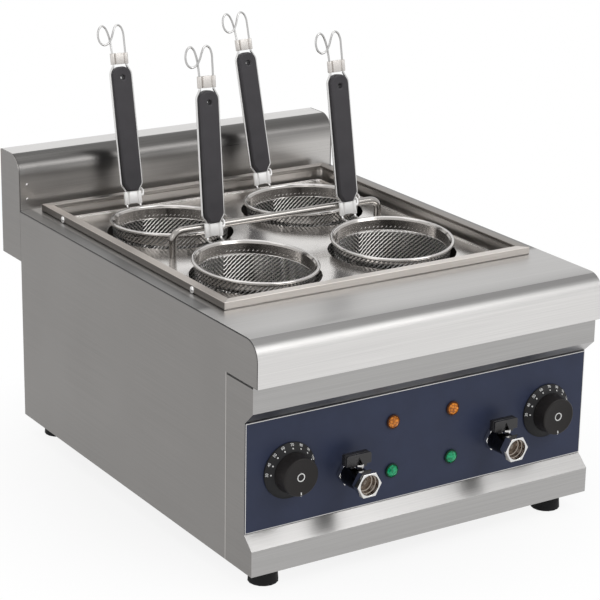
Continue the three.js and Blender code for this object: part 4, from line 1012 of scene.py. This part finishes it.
for end, row, tilt in (("front", FRONT_ROW, FRONT_TILT), ("rear", REAR_ROW, REAR_TILT)):
    for side, sign in SIDES:
        toe = -sign * TOE_IN
        spot = (Vector((sign * COLUMN, row, rim_height(tilt, toe))) + ORIGIN) * MM
        turn = Matrix.Rotation(tilt * DEG, 4, "X") @ Matrix.Rotation(toe * DEG, 4, "Y")
        basket = Matrix.Translation(spot) @ turn
        handle = (basket @ Matrix.Translation((0, HANDLE_OFFSET * MM, 0))
                  @ Matrix.Rotation(-HANDLE_LEAN * DEG, 4, "X"))
        for name, (_, _, slot_name, prefix) in parts.items():
            matrix = handle if name in ON_HANDLE else basket
            show(f"{name}_{end}_{side}", meshes[name], f"basket_{end[0]}{side[0]}",
                 [f"{prefix}{end}_{side}"], matrix)


# Floor, light and camera

def seen_directly(tree):
    """1 for what the camera sees, also in metal and through glass, and 0 for light that falls on things."""
    rays = node(tree, "ShaderNodeLightPath")
    total = rays.outputs["Is Camera Ray"]
    for name in ("Is Glossy Ray", "Is Transmission Ray"):
        total = node(tree, "ShaderNodeMath", total, rays.outputs[name], operation="ADD",
                     use_clamp=True).outputs[0]
    return total


def floor_material():
    """Pale floor that holds the object's soft shadow and turns to plain white away from it."""
    material, shader, tree = blank("floor", Roughness=0.8, Specular_IOR_Level=0.1)
    colour = tint(tree, noise(tree, place(tree), 2.0), (0.93, 0.93, 0.93), (0.95, 0.95, 0.95))
    tree.links.new(colour, shader.inputs["Base Color"])
    distance = node(tree, "ShaderNodeVectorMath", node(tree, "ShaderNodeTexCoord").outputs["Object"],
                    operation="LENGTH")
    veil = remap(tree, distance.outputs["Value"], 0.22, 0.42, 0.84)
    share = node(tree, "ShaderNodeMath", veil, seen_directly(tree), operation="MULTIPLY")
    white = node(tree, "ShaderNodeEmission")
    mixed = node(tree, "ShaderNodeMixShader", share.outputs[0], shader.outputs["BSDF"],
                 white.outputs["Emission"])
    tree.links.new(mixed.outputs["Shader"], tree.nodes["Material Output"].inputs["Surface"])
    return material


floor_mesh = bpy.data.meshes.new("floor")
FLOOR = 12
floor_mesh.from_pydata([(sx * FLOOR, sy * FLOOR, 0) for sx, sy in ((-1, -1), (1, -1), (1, 1), (-1, 1))],
                       [], [(0, 1, 2, 3)])
floor_mesh.materials.append(floor_material())
floor = bpy.data.objects.new("floor", floor_mesh)
bpy.context.scene.collection.objects.link(floor)

world = bpy.data.worlds.new("studio")
bpy.context.scene.world = world
world.use_nodes = True
tree = world.node_tree
background = tree.nodes["Background"]
background.inputs["Color"].default_value = (1, 1, 1, 1)
strength = remap(tree, seen_directly(tree), 0, 1, 0.6)
tree.links.new(strength, background.inputs["Strength"])


def softbox(name, spot, target, size, power):
    light = bpy.data.lights.new(name, "AREA")
    light.shape = "RECTANGLE"
    light.size, light.size_y = size
    light.energy = power
    lamp_object = bpy.data.objects.new(name, light)
    lamp_object.location = spot
    lamp_object.rotation_mode = "QUATERNION"
    lamp_object.rotation_quaternion = (Vector(target) - Vector(spot)).to_track_quat("-Z", "Y")
    bpy.context.scene.collection.objects.link(lamp_object)


softbox("key", (0.9, -1.7, 1.9), (0, 0, 0.15), (1.4, 1.0), 15)
softbox("fill", (-2.2, -0.8, 1.3), (0, 0, 0.15), (1.2, 1.2), 5)
softbox("top", (0.0, 0.2, 2.4), (0, 0, 0.2), (1.6, 1.6), 8)

AZIMUTH, ELEVATION, ROLL = -32.81 * DEG, 18.39 * DEG, 0.96 * DEG
CAMERA_SPOT, LENS, SENSOR = (-1.1482, -1.79715, 0.8962), 128.93, 36
back = Vector((math.sin(AZIMUTH) * math.cos(ELEVATION), -math.cos(AZIMUTH) * math.cos(ELEVATION),
               math.sin(ELEVATION)))
right = Vector((0, 0, 1)).cross(back).normalized()
up = back.cross(right)
right_rolled = right * math.cos(ROLL) + up * math.sin(ROLL)
up_rolled = up * math.cos(ROLL) - right * math.sin(ROLL)
camera_data = bpy.data.cameras.new("camera")
camera_data.lens = LENS
camera_data.sensor_width = SENSOR
camera_data.clip_start = 0.1
camera_data.clip_end = 60
camera = bpy.data.objects.new("camera", camera_data)
camera.matrix_world = Matrix.Translation(CAMERA_SPOT) @ Matrix(
    (right_rolled, up_rolled, back)).transposed().to_4x4()
bpy.context.scene.collection.objects.link(camera)
bpy.context.scene.camera = camera
bpy.context.scene.view_settings.view_transform = "Standard"
